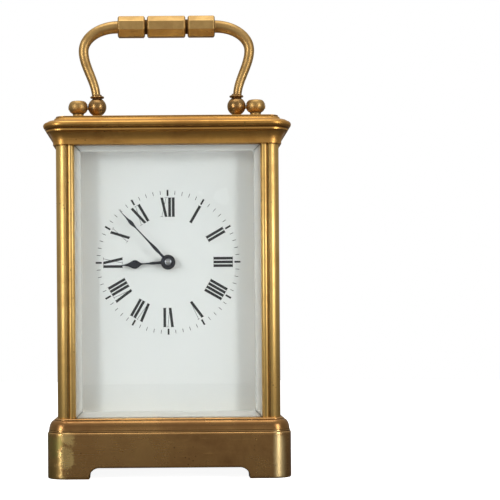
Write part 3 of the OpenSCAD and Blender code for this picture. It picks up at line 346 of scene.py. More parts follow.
def bailStain(f, base, rough):
    # The balls and collars are darker with handling than the arms above them
    foot = f.ramp(f.split()[2] * 5, (0.765, 1), (0.79, 0))
    return f.blend(foot * 0.6, base, (0.24, 0.125, 0.048)), rough - foot * 0.08


def steelFinish(name, bright, dark, rough):
    # Brushed steel: cloudy between two greys, with rust-brown specks
    f = Finish(name)
    cloud = f.ramp(f.noise(240, 4), (0.35, 0), (0.68, 1))
    brushed = f.noise(1, 2, 0.6, f.stretched((900, 120, 900)))
    specks = f.ramp(f.spots(900), (0.04, 1), (0.12, 0)) * f.ramp(f.noise(160, 2), (0.5, 0), (0.6, 1))
    colour = f.blend(cloud, bright, dark)
    colour = f.blend(brushed * 0.3, colour, dark)
    colour = f.blend(specks * 0.6, colour, (0.05, 0.035, 0.025))
    roughness = rough + cloud * 0.1 + brushed * 0.08 + specks * 0.2
    return f.wear(f.surface({"Metallic": 1.0}, {"Base Color": colour, "Roughness": roughness},
                            brushed * 0.5 - specks, 0.00001, 0.35))


def enamelFinish():
    # White enamel, a little uneven, with a few fired-in specks
    f = Finish("dialEnamel")
    ripple = f.noise(260, 3)
    tone = f.ramp(f.noise(30, 3), (0.3, 0), (0.7, 1))
    specks = f.ramp(f.spots(420), (0.02, 1), (0.06, 0)) * f.ramp(f.noise(60, 2), (0.6, 0), (0.66, 1))
    colour = f.blend(tone, (0.78, 0.785, 0.785), (0.745, 0.755, 0.755))
    colour = f.blend(specks * 0.5, colour, (0.45, 0.43, 0.40))
    return f.wear(f.surface({"Coat Weight": 0.6, "Coat Roughness": 0.06},
                            {"Base Color": colour, "Roughness": 0.22 + tone * 0.06}, ripple, 0.00002, 0.12))


def inkFinish():
    # Black glaze of the numerals, slightly worn
    f = Finish("dialInk")
    worn = f.ramp(f.noise(900, 3), (0.35, 0), (0.8, 1))
    return f.wear(f.surface({"Specular IOR Level": 0.2}, {
        "Base Color": f.blend(worn, (0.003, 0.003, 0.004), (0.012, 0.012, 0.014)),
        "Roughness": 0.45 + worn * 0.2}, worn, 0.000005, 0.3))


pane = {
    "tint": (0.965, 0.985, 0.975), "bevel": 2.7,         # width of the bevel inside the frame
    # Painted light on the bevels: a pale grey for their reflections and a dark painted shade along the
    # mitres
    "bevelPaintedSheen": (0.80, 0.83, 0.80), "mitrePaintedShade": (0.10, 0.12, 0.11),
}
# Each opening: the axis across it and the axis up it (0, 1 or 2 for x, y or z), half its width,
# its low and high edges, and how much the painted grey on its bevel veils what is behind
openings = {
    "frontGlass": (0, 2, 36.15, 23.2, 129.2, 0.46), "sideGlass": (1, 2, 31.0, 23.2, 129.2, 0.28),
    "doorGlass": (0, 2, 31.45, 28.0, 124.4, 0.28), "topGlass": (0, 1, 24.0, -18.0, 18.0, 0.28),
}


def glassFinish(name):
    # Clear glass that lets the lamps' light through unbent. Its bevel is veiled with a painted pale grey
    # that stands in for its reflections, and its mitre line is painted dark as shade: with u and v the
    # distances in from the nearest side and the nearest end, the bevel is where min(u, v) is less than
    # the bevel's width, and the mitre line is where u = v.
    f = Finish(name)
    smear = f.ramp(f.noise(60, 5, 0.7), (0.45, 0), (0.8, 1))
    dust = f.ramp(f.spots(1400), (0.02, 1), (0.05, 0)) * smear
    glass = f.surface({"Transmission Weight": 1.0, "IOR": 1.47, "Base Color": (*pane["tint"], 1)},
                      {"Roughness": smear * 0.015 + dust * 0.1}, smear, 0.000004, 0.05)
    across, up, half, low, high, share = openings[name]
    place = f.split()
    u = half * mm - f.math("ABSOLUTE", place[across])
    v = (high - low) / 2 * mm - f.math("ABSOLUTE", place[up] - (high + low) / 2 * mm)
    inwards = f.math("MINIMUM", u, v) * 100
    width = pane["bevel"] * mm * 100
    strip = f.ramp(inwards, (width - 0.03, 1), (width, 0))
    mitre = f.ramp(f.math("ABSOLUTE", u - v) * 100, (0.012, 1), (0.04, 0)) * strip
    # Painted reflection and shade: a grey diffuse layer over the bevel, dark along the mitre, mixed over
    # the clear glass
    paintedBevel = f.surface({"Roughness": 0.35}, {
        "Base Color": f.blend(mitre, pane["bevelPaintedSheen"], pane["mitrePaintedShade"])}, smear, 0.000004, 0.05)
    veil = strip * share + mitre * 0.4
    veiled = f.node("ShaderNodeMixShader", None, {0: veil, 1: glass, 2: paintedBevel})
    lamp = f.node("ShaderNodeLightPath", output="Is Shadow Ray")
    clear = f.node("ShaderNodeBsdfTransparent", None, {"Color": (*pane["tint"], 1)})
    return f.wear(f.node("ShaderNodeMixShader", None, {0: lamp, 1: veiled, 2: clear}))


pillarBrass = agedBrass("pillarBrass", pillarLook)
corniceBrass = agedBrass("corniceBrass", mouldingLook)
bailBrass = agedBrass("bailBrass", handleLook, bailStain)
handleBrass = agedBrass("handleBrass", handleLook)
plateBrass = agedBrass("plateBrass", plateLook)
wheelBrass = agedBrass("wheelBrass", wheelLook)
footBrass = agedBrass("baseBrass", baseLook, baseStain)
arborSteel = steelFinish("arborSteel", (0.62, 0.61, 0.60), (0.38, 0.37, 0.36), 0.2)
bluedSteel = steelFinish("bluedSteel", (0.030, 0.034, 0.050), (0.012, 0.013, 0.020), 0.24)
gongSteel = steelFinish("gongSteel", (0.16, 0.17, 0.22), (0.07, 0.075, 0.10), 0.28)
enamel = enamelFinish()
ink = inkFinish()
frontGlass = glassFinish("frontGlass")
sideGlass = glassFinish("sideGlass")
doorGlass = glassFinish("doorGlass")
topGlass = glassFinish("topGlass")
nutSteel = steelFinish("nutSteel", (0.40, 0.41, 0.44), (0.20, 0.21, 0.24), 0.2)
print("finishes made:", len(bpy.data.materials))

finishOf = {
    "base_floor": plateBrass, "case_screws": arborSteel, "glass_front": frontGlass, "glass_left": sideGlass,
    "glass_right": sideGlass, "glass_top": topGlass, "rear_door_frame": pillarBrass,
    "rear_door_glass": doorGlass, "handle_pivots": arborSteel, "dial_plate": enamel,
    "dial_feet": plateBrass, "front_plate": plateBrass, "back_plate": plateBrass,
    "plate_screws": bluedSteel, "time_barrel": wheelBrass, "time_barrel_arbor": arborSteel,
    "time_ratchet": arborSteel, "time_click": arborSteel, "strike_barrel": wheelBrass,
    "strike_barrel_arbor": arborSteel, "strike_ratchet": arborSteel, "strike_click": arborSteel,
    "mainsprings": gongSteel, "centre_arbor": arborSteel, "centre_wheel": wheelBrass,
    "cannon_pinion": arborSteel, "minute_wheel": wheelBrass, "hour_wheel": wheelBrass,
    "intermediate_wheel": wheelBrass, "third_wheel": wheelBrass, "contrate_wheel": wheelBrass,
    "escape_wheel": wheelBrass, "platform": plateBrass, "pallet_lever": arborSteel,
    "balance_wheel": wheelBrass, "hairspring": bluedSteel, "balance_cock": plateBrass,
    "pin_wheel": wheelBrass, "strike_third_wheel": wheelBrass, "warning_wheel": wheelBrass,
    "fly": arborSteel, "hammer": arborSteel, "strike_rack": arborSteel, "gong": gongSteel,
    "gong_block": plateBrass,
}
for name, material in finishOf.items():
    node = nodes[name]
    node.data.materials.clear()
    node.data.materials.append(material)
print("finishes put on", len(finishOf), "solids")

case = {
    "width": 86.7, "depth": 76.4,        # over the corner pillars
    "baseHeight": 23.2, "pillarHeight": 106.0,
    "corniceHeight": 11.2,
    "cornerRadius": 4.0,                 # of the pillar face line
    "softEdge": 0.22,                    # how far the moulded edges are rubbed round
}
halfWidth, halfDepth = case["width"] / 2, case["depth"] / 2
corniceFoot = case["baseHeight"] + case["pillarHeight"]
caseTop = corniceFoot + case["corniceHeight"]


def walkRound(stopsX, stopsY):
    # Stations round a rectangle, four sides and four corner arcs: a far point that is clipped to
    # each ring's own corner centre, the angle that the side faces, and the height of the arch
    # above it. stopsX and stopsY are [distance from the middle, arch height] along a half side.
    far, arc = 1000.0, np.linspace(0, 90, 15)[1:-1]
    middle = {0: stopsY, 1: stopsX, 2: stopsY, 3: stopsX}
    x, y, angle, lift = [], [], [], []
    for side in range(4):
        stops = np.asarray(middle[side], float)
        along = np.concatenate([[-far], -stops[::-1, 0], stops[:, 0], [far]])
        rise = np.concatenate([[0], stops[::-1, 1], stops[:, 1], [0]])
        fixed = np.full(len(along), far)
        across = [(fixed, along), (-along, fixed), (-fixed, -along), (along, -fixed)][side]
        corner = [(far, far), (-far, far), (-far, -far), (far, -far)][side]
        x += [across[0], np.full(len(arc), corner[0])]
        y += [across[1], np.full(len(arc), corner[1])]
        angle += [np.full(len(along), side * 90.0), side * 90 + arc]
        lift += [rise, 0 * arc]
    return np.concatenate(x), np.concatenate(y), np.radians(np.concatenate(angle)), np.concatenate(lift)


def ringSweep(outward, heights, relief, stations, innerHalf, liftTop=0.0):
    # An outline of [outward from the pillar faces, height] carried round the case. Ring point =
    # the station clipped to the corner centres + radius * (cos a, sin a). Points far inside use
    # the half sizes in innerHalf instead, with square corners.
    x, y, angle, lift = stations
    inside = ~np.isnan(innerHalf[:, 0])
    radius = np.where(inside, 0.0, np.maximum(case["cornerRadius"] + outward, 0))[:, None]
    halfX = np.where(inside, innerHalf[:, 0], halfWidth + outward)[:, None] - radius
    halfY = np.where(inside, innerHalf[:, 1], halfDepth + outward)[:, None] - radius
    px = np.clip(x[None], -halfX, halfX) + radius * np.cos(angle)
    py = np.clip(y[None], -halfY, halfY) + radius * np.sin(angle)
    pz = np.repeat(heights[:, None], len(x), 1)
    if liftTop:
        pz = pz + lift[None] * np.clip(1 - pz / liftTop, 0, 1)
    return cappedGrid(np.stack([px, py, pz], -1), relief[:, None], closeRows=True)


def withInner(outline, inner, foot=0.0):
    # Joins a softened outer outline to the ring sizes [half width, half depth, height] inside it
    outline = np.asarray(outline, float)
    rows, relief = softOutline(outline, case["softEdge"], closed=False)
    inner = np.asarray(inner, float)
    count = len(inner)
    outward = np.concatenate([rows[:, 0], np.zeros(count)])
    heights = np.concatenate([rows[:, 1], inner[:, 2]]) + foot
    halves = np.full((len(rows) + count, 2), np.nan)
    halves[len(rows):] = inner[:, :2]
    return outward, heights, np.concatenate([relief, np.zeros(count)]), halves


# Outlines are [outward from the pillar faces, height], and inside lists the rings
# [half width, half depth, height] that close the moulding from its top back to its foot
base = {
    "footLength": 16.4, "archHeight": 4.3, "faceOut": 4.0, "faceTop": 17.6,
    "outline": np.concatenate([
        [[3.7, 0], [4.0, 0.3], [4.0, 17.6], [3.65, 17.9], [3.65, 18.5]],
        ellipseArc(1.3, 18.5, 2.15, 4.0, 0, 90, 12),
        [[1.3, 22.8], [0.9, 23.2], [0.2, 23.2]]]),
    "inside": [[37.8, 32.8, 23.2], [37.8, 32.8, 20.8], [37, 32, 20.8], [37, 32, 0]],
}
archRadius = base["archHeight"] * 0.9
quarter = np.radians(np.linspace(0, 90, 10))


def archStops(halfSpan):
    # Half of the arch between two feet: level, then a quarter circle down, then the foot's edge
    curveX = halfSpan - archRadius + archRadius * np.sin(quarter)
    curveZ = base["archHeight"] - archRadius + archRadius * np.cos(quarter)
    return [[0, base["archHeight"]], *np.stack([curveX, curveZ], 1).tolist(), [halfSpan, 0]]


footEdge = base["faceOut"] - base["footLength"]
stations = walkRound(archStops(halfWidth + footEdge), archStops(halfDepth + footEdge))
outward, heights, relief, halves = withInner(base["outline"], base["inside"])
baseShell = ringSweep(outward, heights, relief, stations, halves, base["faceTop"])
putPiece("baseMoulding", [baseShell], "case", footBrass, ["base_moulding"])

cornice = {
    "outline": np.concatenate([
        [[0.2, 0], [1.1, 0], [1.1, 0.8]],
        ellipseArc(3.7, 0.8, 2.6, 4.3, 180, 90, 14),
        [[3.7, 6.2]],
        ellipseArc(3.8, 7.5, 1.1, 1.2, -80, 80, 12),
        [[3.5, 8.9], [2.9, 9.3]],
        ellipseArc(2.4, 10.4, 1.9, 1.1, 270, 180, 8),
        [[0.2, 10.5], [-0.1, 10.7], [-0.1, 11.2], [-1.5, 11.2]]]),
    "inside": [
        [26.25, 20.25, 11.2], [26, 20, 10.95], [26, 20, 8.9], [24, 18, 8.9], [24, 18, 8.0],
        [37.3, 32.2, 8.0], [37.3, 32.2, 0]],
}
outward, heights, relief, halves = withInner(cornice["outline"], cornice["inside"], corniceFoot)
corniceShell = ringSweep(outward, heights, relief, walkRound([[0, 0]], [[0, 0]]), halves)
putPiece("corniceMoulding", [corniceShell], "case", corniceBrass, ["cornice"])
print("base and cornice built")

pillar = {
    "width": 7.2, "columnRadius": 3.85, "grooveFrom": 4.05, "grooveTo": 4.5, "grooveDepth": 0.95,
    "beadRadius": 1.35,
}


def pillarSection():
    # One face of the pillar, from the middle of its round corner to the inner edge: the column's
    # quarter circle, a groove, then a bead. The other face is its mirror image.
    c, b, w = pillar["columnRadius"], pillar["beadRadius"], pillar["width"]
    column = ellipseArc(c, c, c, c, 225, 272, 14)
    groove = [[pillar["grooveFrom"], pillar["grooveDepth"]], [pillar["grooveTo"], pillar["grooveDepth"]]]
    bead = ellipseArc(w - b, b + 0.12, b, b, 176, 320, 14)
    face = np.concatenate([column, groove, bead, [[w - 0.05, b + 0.1], [w, b + 0.5]]])
    mirrored = face[::-1, ::-1]
    return np.concatenate([mirrored[:-1], face, [[w, w]]])


for front, sideY in (("front", -1), ("rear", 1)):
    for hand, sideX in (("left", -1), ("right", 1)):
        section, relief = softOutline(pillarSection(), 0.09)
        ends = np.array([case["baseHeight"], case["baseHeight"] + 0.2, corniceFoot - 0.2, corniceFoot])
        inset = np.array([0.985, 1, 1, 0.985])[:, None]
        middle = pillar["width"] / 2
        local = middle + (section[None] - middle) * inset[..., None]
        x = sideX * (halfWidth - local[..., 0])
        y = sideY * (halfDepth - local[..., 1])
        z = np.repeat(ends[:, None], len(section), 1)
        putPiece(f"pillar_{front}_{hand}", [cappedGrid(np.stack([x, y, z], -1), relief[None])],
                 "case", pillarBrass, [f"pillar_{front}_{hand}"])
print("pillars built")

# Outlines of turned pieces are [radius, height] along their own axis
knob = {
    "x": 33.55, "z": 77.6, "seat": 37.6,
    "outline": np.concatenate([
        [[0, 0], [2.6, 0], [2.6, 0.4], [1.7, 1], [1.3, 1.7], [1.25, 2.5], [1.7, 3.2], [2.5, 3.7]],
        ellipseArc(0, 4.2, 2.6, 1.2, 0, 90, 10)]),
    "shank": [[0, -3.4], [0.8, -3.4], [0.8, 0.2], [0, 0.2]],
}
knobAt = (knob["x"], knob["seat"], knob["z"])
knobShells = [turned(knob["outline"], knobAt, "y", 0.12), turned(knob["shank"], knobAt, "y", 0.1, 24)]
putPiece("doorKnob", knobShells, "rear_door", handleBrass, ["rear_door_knob"])

handle = {
    "pivotHeight": caseTop + 8.8, "postX": 36.6, "ballX": 28.75, "ballRadius": 3.8,
    "rise": 33.0, "gripWidth": 9.2, "gripLength": 40.0, "gripEnd": 11.2, "groove": 0.9, "chamfer": 0.5,
    "elbowX": 34.2, "elbowDrop": 9.9,
    "armNeck": 1.75, "armBend": 2.05, "armEnd": 2.55,    # the arm's radius at the ball, elbow and grip
}
gripHeight = handle["pivotHeight"] + handle["rise"]


def armPath():
    # From the ball, x eases outwards by 3tt - 2ttt to the elbow, then a quarter ellipse runs in
    t = np.linspace(0, 1, 26)
    neckX, elbowX = handle["ballX"] + 0.4, handle["elbowX"]
    footZ, elbowZ = handle["pivotHeight"] + 4.2, gripHeight - handle["elbowDrop"]
    lower = np.stack([neckX + (elbowX - neckX) * t * t * (3 - 2 * t), footZ + (elbowZ - footZ) * t], 1)
    reach = elbowX - handle["gripLength"] / 2
    a = np.radians(np.linspace(0, 90, 26))[1:]
    upper = np.stack([elbowX - reach + reach * np.cos(a), elbowZ + handle["elbowDrop"] * np.sin(a)], 1)
    radii = [np.linspace(handle["armNeck"], handle["armBend"], 26),
             np.linspace(handle["armBend"], handle["armEnd"], 25)]
    return np.concatenate([lower, upper]), np.concatenate(radii)


path, radii = armPath()
ballOutline = np.concatenate([
    ellipseArc(0, 0, handle["ballRadius"], handle["ballRadius"], -90, 56, 26),
    [[1.95, 3.45], [2.0, 3.6], [2.75, 3.7]],
    ellipseArc(2.45, 4.05, 0.45, 0.38, -60, 80, 6),
    [[1.95, 4.65], [1.85, 5.1], [0, 5.1]],
])
bailShells = []
for side in (-1, 1):
    bailShells.append(bentRod(path * [side, 1], radii, 0.0))
    bailShells.append(turned(ballOutline, (side * handle["ballX"], 0, handle["pivotHeight"]), "z", 0.08))
putPiece("handleBail", bailShells, "handle", bailBrass, ["handle_bail"])


def gripShells():
    # Rings of a rounded octagon along X: the radius steps down at both ends of each segment
    corners = np.radians(np.arange(8) * 45 + 22.5)
    octagon, relief = softOutline(np.stack([np.cos(corners), np.sin(corners)], 1), 0.035)
    wide, cut = handle["gripWidth"] / 2, handle["chamfer"]
    whole, end = handle["gripLength"], handle["gripEnd"]
    middle = whole - 2 * end - 2 * handle["groove"]
    shells = []
    for start, length in ((-whole / 2, end), (-middle / 2, middle), (whole / 2 - end, end)):
        line = [[0.01, 0], [wide - cut - 0.2, 0], [wide - cut, 0.1], [wide, cut], [wide, length - cut],
                [wide - cut, length - 0.1], [wide - cut - 0.2, length], [0.01, length]]
        rows, edge = softOutline(line, 0.16, closed=False)
        x = np.repeat(start + rows[:, 1:], len(octagon), 1)
        y, z = rows[:, :1] * octagon[:, 0], gripHeight + rows[:, :1] * octagon[:, 1]
        # Rubbed brighter where the segment edges stand proud, and given painted shade where the outline
        # turns into a hollow
        worn = np.clip(edge[:, None] + relief[None] * (np.abs(edge[:, None]) < 2), -1, 1)
        shells.append(cappedGrid(np.stack([x, y, z], -1), worn))
    # The core seen in the grooves between the segments is marked a full recess, so it is painted near-black
    # shade
    core = [[0, 0], [3, 0], [3, handle["gripLength"]], [0, handle["gripLength"]]]
    points, faces, relief = turned(core, (-handle["gripLength"] / 2, 0, gripHeight), "x", 0.2, 40)
    return [*shells, (points, faces, relief * 0 - 1)]


putPiece("handleGrip", gripShells(), "handle", handleBrass, ["handle_grip"], sharp=24)

post = {
    "outline": np.concatenate([
        [[0, 0.02], [4.15, 0.02], [4.15, 0.6], [3.7, 1.2], [2.8, 2], [2.15, 2.8], [2.1, 4.9], [2.3, 6.1]],
        ellipseArc(2.3, 8.8, 1.65, 2.5, -80, 84, 16),
        [[0, 11.5]]]),
}
postShells = [turned(post["outline"], (side * handle["postX"], 0, caseTop), "z", 0.14) for side in (-1, 1)]
putPiece("handlePosts", postShells, "case", handleBrass, ["handle_posts"])
print("handle built")

dial = {
    "height": 83.8, "face": -27.5,
    "numeralFrom": 17.9, "numeralTo": 25.5,
    "thick": 1.06, "thin": 0.15, "serif": 0.14,
    "minuteFrom": 26.7, "minuteTo": 28.2, "fiveFrom": 26.1, "fiveTo": 28.5,
}


def stroke(x0, y0, x1, y1, width):
    # Level-ended bar from (x0, y0) to (x1, y1): its width is measured across
    h = width / 2
    return [[x0 - h, y0], [x0 + h, y0], [x1 + h, y1], [x1 - h, y1]]


def numeral(text):
    # Bars of a Roman numeral, across by 0 at its foot to 1 at its head, with fine serifs
    thick, thin = dial["thick"], dial["thin"]
    serif = dial["serif"] / (dial["numeralTo"] - dial["numeralFrom"])
    widths = {"I": 1.46, "V": 2.9, "X": 3.0}
    at = -sum(widths[c] for c in text) / 2
    bars = []
    for letter in text:
        w = widths[letter]
        m = at + w / 2
        if letter == "I":
            bars += [stroke(m, 0, m, 1, thick),
                     stroke(m, 0, m, serif, 1.36), stroke(m, 1 - serif, m, 1, 1.36)]
        if letter == "V":
            bars += [stroke(m - 0.85, 1, m + 0.05, 0, thick), stroke(m + 0.95, 1, m + 0.22, 0, thin),
                     stroke(m - 0.85, 1 - serif, m - 0.85, 1, 1.4),
                     stroke(m + 0.95, 1 - serif, m + 0.95, 1, 0.95)]
        if letter == "X":
            bars += [stroke(m - 0.85, 1, m + 0.85, 0, thick), stroke(m + 0.88, 1, m - 0.88, 0, thin)]
            bars += [stroke(m + s * 0.87, k * (1 - serif), m + s * 0.87, k * (1 - serif) + serif, 1.15)
                     for s in (-1, 1) for k in (0, 1)]
        at += w
    bars = np.array(bars, float)
    bars[..., 1] = dial["numeralFrom"] + bars[..., 1] * (dial["numeralTo"] - dial["numeralFrom"])
    return bars


def dialMarks():
    # All bars as [across, outward], turned clockwise by their hour or minute, then each made a
    # thin tile that stands 0.03 proud of the dial
    names = ["XII", "I", "II", "III", "IIII", "V", "VI", "VII", "VIII", "IX", "X", "XI"]
    bars, turns = [], []
    for hour, text in enumerate(names):
        made = numeral(text)
        bars.append(made)
        turns.append(np.full(len(made), hour * 30.0))
    minutes = np.arange(60)
    five = (minutes % 5 == 0)[:, None]
    inner = np.where(five, dial["fiveFrom"], dial["minuteFrom"])
    outer = np.where(five, dial["fiveTo"], dial["minuteTo"])
    half = np.where(five, 0.36, 0.11)
    ticks = np.stack([np.concatenate([-half, half, half, -half], 1),
                      np.concatenate([inner, inner, outer, outer], 1)], -1)
    bars, turns = np.concatenate([*bars, ticks]), np.radians(np.concatenate([*turns, minutes * 6.0]))
    c, s = np.cos(turns)[:, None], np.sin(turns)[:, None]
    x, z = bars[..., 0] * c + bars[..., 1] * s, dial["height"] + bars[..., 1] * c - bars[..., 0] * s
    near, far = dial["face"] - 0.03, dial["face"] + 0.2
    corners = np.stack([np.concatenate([x, x], 1), np.repeat([[near] * 4 + [far] * 4], len(x), 0),
                        np.concatenate([z, z], 1)], -1)
    tile = np.array([[0, 1, 2, 3], [7, 6, 5, 4], [0, 4, 5, 1], [1, 5, 6, 2], [2, 6, 7, 3], [3, 7, 4, 0]])
    faces = (tile[None] + 8 * np.arange(len(x))[:, None, None]).reshape(-1, 4)
    return corners.reshape(-1, 3), faces, np.zeros(len(x) * 8)


putPiece("dialMarks", [dialMarks()], "case", ink)

hands = {
    "minuteAt": 317.1, "hourAt": 266.4,  # degrees clockwise from XII
    "minuteLayer": (-30.9, -30.5), "hourLayer": (-29.5, -29.1),
    # [distance from the arbor, half width]
    "minuteShape": [
        [1.6, 0.62], [3.4, 0.50], [5.2, 0.50], [6.6, 0.66], [8.2, 0.60], [10.5, 0.36], [15, 0.24],
        [18.4, 0.26], [19.6, 0.5], [20.8, 0.78], [21.6, 0.70], [22.8, 0.40], [24.4, 0.22], [28.1, 0.05]],
    "hourShape": [
        [2.2, 0.62], [4.6, 0.52], [6.0, 0.56], [7.6, 0.34], [9.4, 0.27], [10.6, 0.36], [11.2, 0.9],
        [11.9, 1.42], [12.8, 1.72], [13.7, 1.64], [14.5, 1.22], [15.3, 0.76], [16.2, 0.46],
        [17.2, 0.28], [19.2, 0.05]],
}


def handShell(shape, turn, layer):
    # Blade along its own length r: across = w(r) cos v, and depth = middle + h(r) sin v, so that it
    # is proud along its middle
    shape = np.asarray(shape, float)
    r = np.linspace(shape[0, 0], shape[-1, 0], 150)
    fine = np.interp(r, shape[:, 0], shape[:, 1])
    fine = np.convolve(np.pad(fine, 3, mode="edge"), np.ones(7) / 7, "valid")
    v = np.linspace(0, 2 * np.pi, 20, endpoint=False)[None]
    thick = (layer[1] - layer[0]) / 2 * np.clip(0.35 + fine / 0.6, 0, 1)
    across = fine[:, None] * np.cos(v)
    depth = (layer[0] + layer[1]) / 2 + thick[:, None] * np.sin(v)
    a = math.radians(turn)
    x = r[:, None] * math.sin(a) + across * math.cos(a)
    z = dial["height"] + r[:, None] * math.cos(a) - across * math.sin(a)
    return cappedGrid(np.stack([x, depth, z], -1))


centre = (0, 0, dial["height"])
hourLow, hourHigh = hands["hourLayer"]
minuteLow, minuteHigh = hands["minuteLayer"]
hourHub = [[2.22, hourLow], [2.9, hourLow], [2.9, hourHigh], [2.22, hourHigh]]
minuteHub = [[0, minuteHigh], [2.45, minuteHigh], [2.2, minuteLow + 0.1], [1.75, minuteLow], [0, minuteLow]]
putPiece("hourHand", [handShell(hands["hourShape"], hands["hourAt"], hands["hourLayer"]),
                      turned(hourHub, centre, "y", 0.08)], "hour_hand", bluedSteel, ["hour_hand"])
putPiece("minuteHand", [handShell(hands["minuteShape"], hands["minuteAt"], hands["minuteLayer"]),
                        turned(minuteHub, centre, "y", 0.1)], "minute_hand", bluedSteel, ["minute_hand"])
nutOutline = [[0, minuteLow], [1.3, minuteLow], [1.3, minuteLow - 0.3], [0.85, minuteLow - 0.5],
              [0.8, minuteLow - 1.0], [0.55, minuteLow - 1.3], [0, minuteLow - 1.3]]
putPiece("handNut", [turned(nutOutline, centre, "y", 0.1)], "minute_hand", nutSteel, ["hand_nut"])
print("dial and hands built")

movement = {
    "inside": -11.2, "back": 19.3, "pillarX": 27.0, "pillarZ": (28.2, 122.6),
    "pillarEnd": [[0, 0], [3.6, 0], [3.6, 1.4], [2.6, 2], [2.6, 2.6], [3.7, 3.2], [3.7, 4.6], [2.6, 5.4],
                  [2.3, 7]],
}
pillarLength = movement["back"] - movement["inside"]
pillarEnd = np.array(movement["pillarEnd"])
bobbin = np.concatenate([pillarEnd, (pillarEnd * [1, -1] + [0, pillarLength])[::-1]])
putPiece("movementPillars", [
    turned(bobbin, (sideX * movement["pillarX"], movement["inside"], z), "y", 0.12)
    for sideX in (-1, 1) for z in movement["pillarZ"]], "case", wheelBrass, ["movement_pillars"])
print("movement pillars built")

stage = {
    "cameraBack": 600.0, "cameraHeight": 60.0, "lensLength": 104.6, "shiftAcross": 0.163, "shiftUp": 0.1456,
    "roll": 0.44,
    "boxAcross": 0.64, "boxFront": 0.66, "boxHeight": 0.2, "boxSize": (0.12, 0.6), "boxPower": 3.2,
    "topPlace": (0.0, -0.1, 0.9), "topSize": (0.7, 0.5), "topPower": 2.4,
    "lampAim": (0, 0, 0.08),
    "floorRadius": 900, "floorGlow": 0.92, "floorInBrass": 0.12,
    "roomAhead": 0.38, "roomFront": 0.10, "roomBack": 0.32, "roomAbove": 0.38,
}


def putFloor():
    # A level round sheet under the feet, whiter straight to the eye and through the glass than
    # after a bounce off the clock
    turn = np.linspace(0, 2 * np.pi, 96, endpoint=False)
    points = stage["floorRadius"] * mm * np.stack([np.cos(turn), np.sin(turn), 0 * turn], 1)
    mesh = bpy.data.meshes.new("floor")
    mesh.from_pydata(points.tolist(), [], [list(range(96))])
    f = Finish("paleFloor")
    tone = f.blend(f.noise(4, 3), (0.80, 0.80, 0.80), (0.76, 0.76, 0.76))
    pale = f.node("ShaderNodeBsdfDiffuse", None, {"Color": tone})
    glow = f.node("ShaderNodeEmission", None, {"Color": (1, 1, 1, 1), "Strength": stage["floorGlow"]})
    lit = f.node("ShaderNodeAddShader", None, {0: pale, 1: glow})
    dull = f.node("ShaderNodeBsdfDiffuse", None, {"Color": (*[stage["floorInBrass"]] * 3, 1)})
    diffuse = f.node("ShaderNodeLightPath", output="Diffuse Depth")
    glossy = f.node("ShaderNodeLightPath", output="Glossy Depth")
    seen = f.math("LESS_THAN", diffuse + glossy, 0.5)
    mesh.materials.append(f.wear(f.node("ShaderNodeMixShader", None, {0: seen, 1: dull, 2: lit})))
    floor = bpy.data.objects.new("floor", mesh)
    bpy.context.scene.collection.objects.link(floor)


def putLamp(name, place, size, power):
    # A soft box turned to the middle of the clock
    lamp = bpy.data.lights.new(name, "AREA")
    lamp.shape, lamp.energy = "RECTANGLE", power
    lamp.size, lamp.size_y = size
    made = bpy.data.objects.new(name, lamp)
    made.location = place
    made.rotation_euler = (Vector(stage["lampAim"]) - Vector(place)).to_track_quat("-Z", "Y").to_euler()
    bpy.context.scene.collection.objects.link(made)


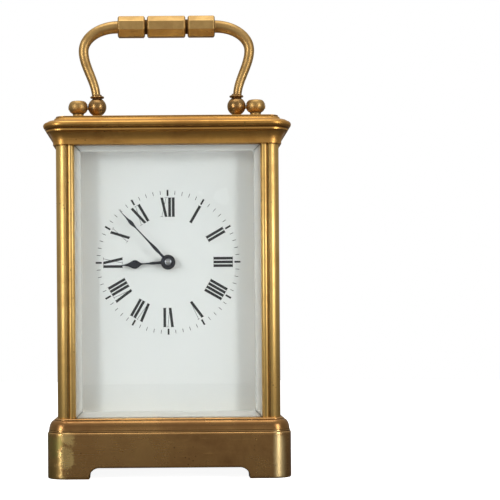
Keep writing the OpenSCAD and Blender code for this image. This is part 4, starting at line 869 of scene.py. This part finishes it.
def putWorld():
    # White to the eye and through the glass. After a bounce off the clock the room is dimmer: pale
    # straight ahead, dark around that, and lighter behind and overhead.
    world = bpy.data.worlds.new("room")
    world.use_nodes = True
    tree = world.node_tree
    tree.nodes.clear()

    def made(kind, **settings):
        node = tree.nodes.new(kind)
        for key, value in settings.items():
            setattr(node, key, value)
        return node

    way, parts = made("ShaderNodeTexCoord"), made("ShaderNodeSeparateXYZ")
    path = made("ShaderNodeLightPath")
    deep = made("ShaderNodeMapRange", interpolation_type="SMOOTHSTEP")
    high = made("ShaderNodeMapRange", interpolation_type="SMOOTHSTEP")
    ahead = made("ShaderNodeMapRange", interpolation_type="SMOOTHSTEP")
    part, total = made("ShaderNodeMath", operation="ADD"), made("ShaderNodeMath", operation="ADD")
    bounces = made("ShaderNodeMath", operation="ADD")
    straight = made("ShaderNodeMath", operation="LESS_THAN")
    straight.inputs[1].default_value = 0.5
    chosen = made("ShaderNodeMix")
    glow, end = made("ShaderNodeBackground"), made("ShaderNodeOutputWorld")
    ranges = ((deep, (-0.9, 0.6, stage["roomFront"], stage["roomBack"])),
              (high, (0.2, 0.95, 0.0, stage["roomAbove"])),
              (ahead, (-0.98, -0.86, stage["roomAhead"], 0.0)))
    for node, values in ranges:
        for key, value in zip(("From Min", "From Max", "To Min", "To Max"), values):
            node.inputs[key].default_value = value
    chosen.inputs[3].default_value = 1.0
    glow.inputs["Color"].default_value = (1, 1, 1, 1)
    tree.links.new(way.outputs["Generated"], parts.inputs[0])
    tree.links.new(parts.outputs["Y"], deep.inputs["Value"])
    tree.links.new(parts.outputs["Z"], high.inputs["Value"])
    tree.links.new(parts.outputs["Y"], ahead.inputs["Value"])
    tree.links.new(deep.outputs[0], part.inputs[0])
    tree.links.new(high.outputs[0], part.inputs[1])
    tree.links.new(part.outputs[0], total.inputs[0])
    tree.links.new(ahead.outputs[0], total.inputs[1])
    tree.links.new(path.outputs["Diffuse Depth"], bounces.inputs[0])
    tree.links.new(path.outputs["Glossy Depth"], bounces.inputs[1])
    tree.links.new(bounces.outputs[0], straight.inputs[0])
    tree.links.new(straight.outputs[0], chosen.inputs[0])
    tree.links.new(total.outputs[0], chosen.inputs[2])
    tree.links.new(chosen.outputs[0], glow.inputs["Strength"])
    tree.links.new(glow.outputs[0], end.inputs[0])
    bpy.context.scene.world = world


putFloor()
putWorld()
for name, side in (("leftBox", -1), ("rightBox", 1)):
    place = (side * stage["boxAcross"], -stage["boxFront"], stage["boxHeight"])
    putLamp(name, place, stage["boxSize"], stage["boxPower"])
putLamp("topBox", stage["topPlace"], stage["topSize"], stage["topPower"])

lens = bpy.data.cameras.new("camera")
lens.sensor_width = 36
lens.lens, lens.shift_x, lens.shift_y = stage["lensLength"], stage["shiftAcross"], stage["shiftUp"]
lens.clip_start, lens.clip_end = 0.01, 20
camera = bpy.data.objects.new("camera", lens)
camera.location = (0, -stage["cameraBack"] * mm, stage["cameraHeight"] * mm)
camera.rotation_euler = Euler((math.radians(90), math.radians(stage["roll"]), 0))
bpy.context.scene.collection.objects.link(camera)
bpy.context.scene.camera = camera
bpy.context.scene.view_settings.view_transform = "Standard"
print("stage set")
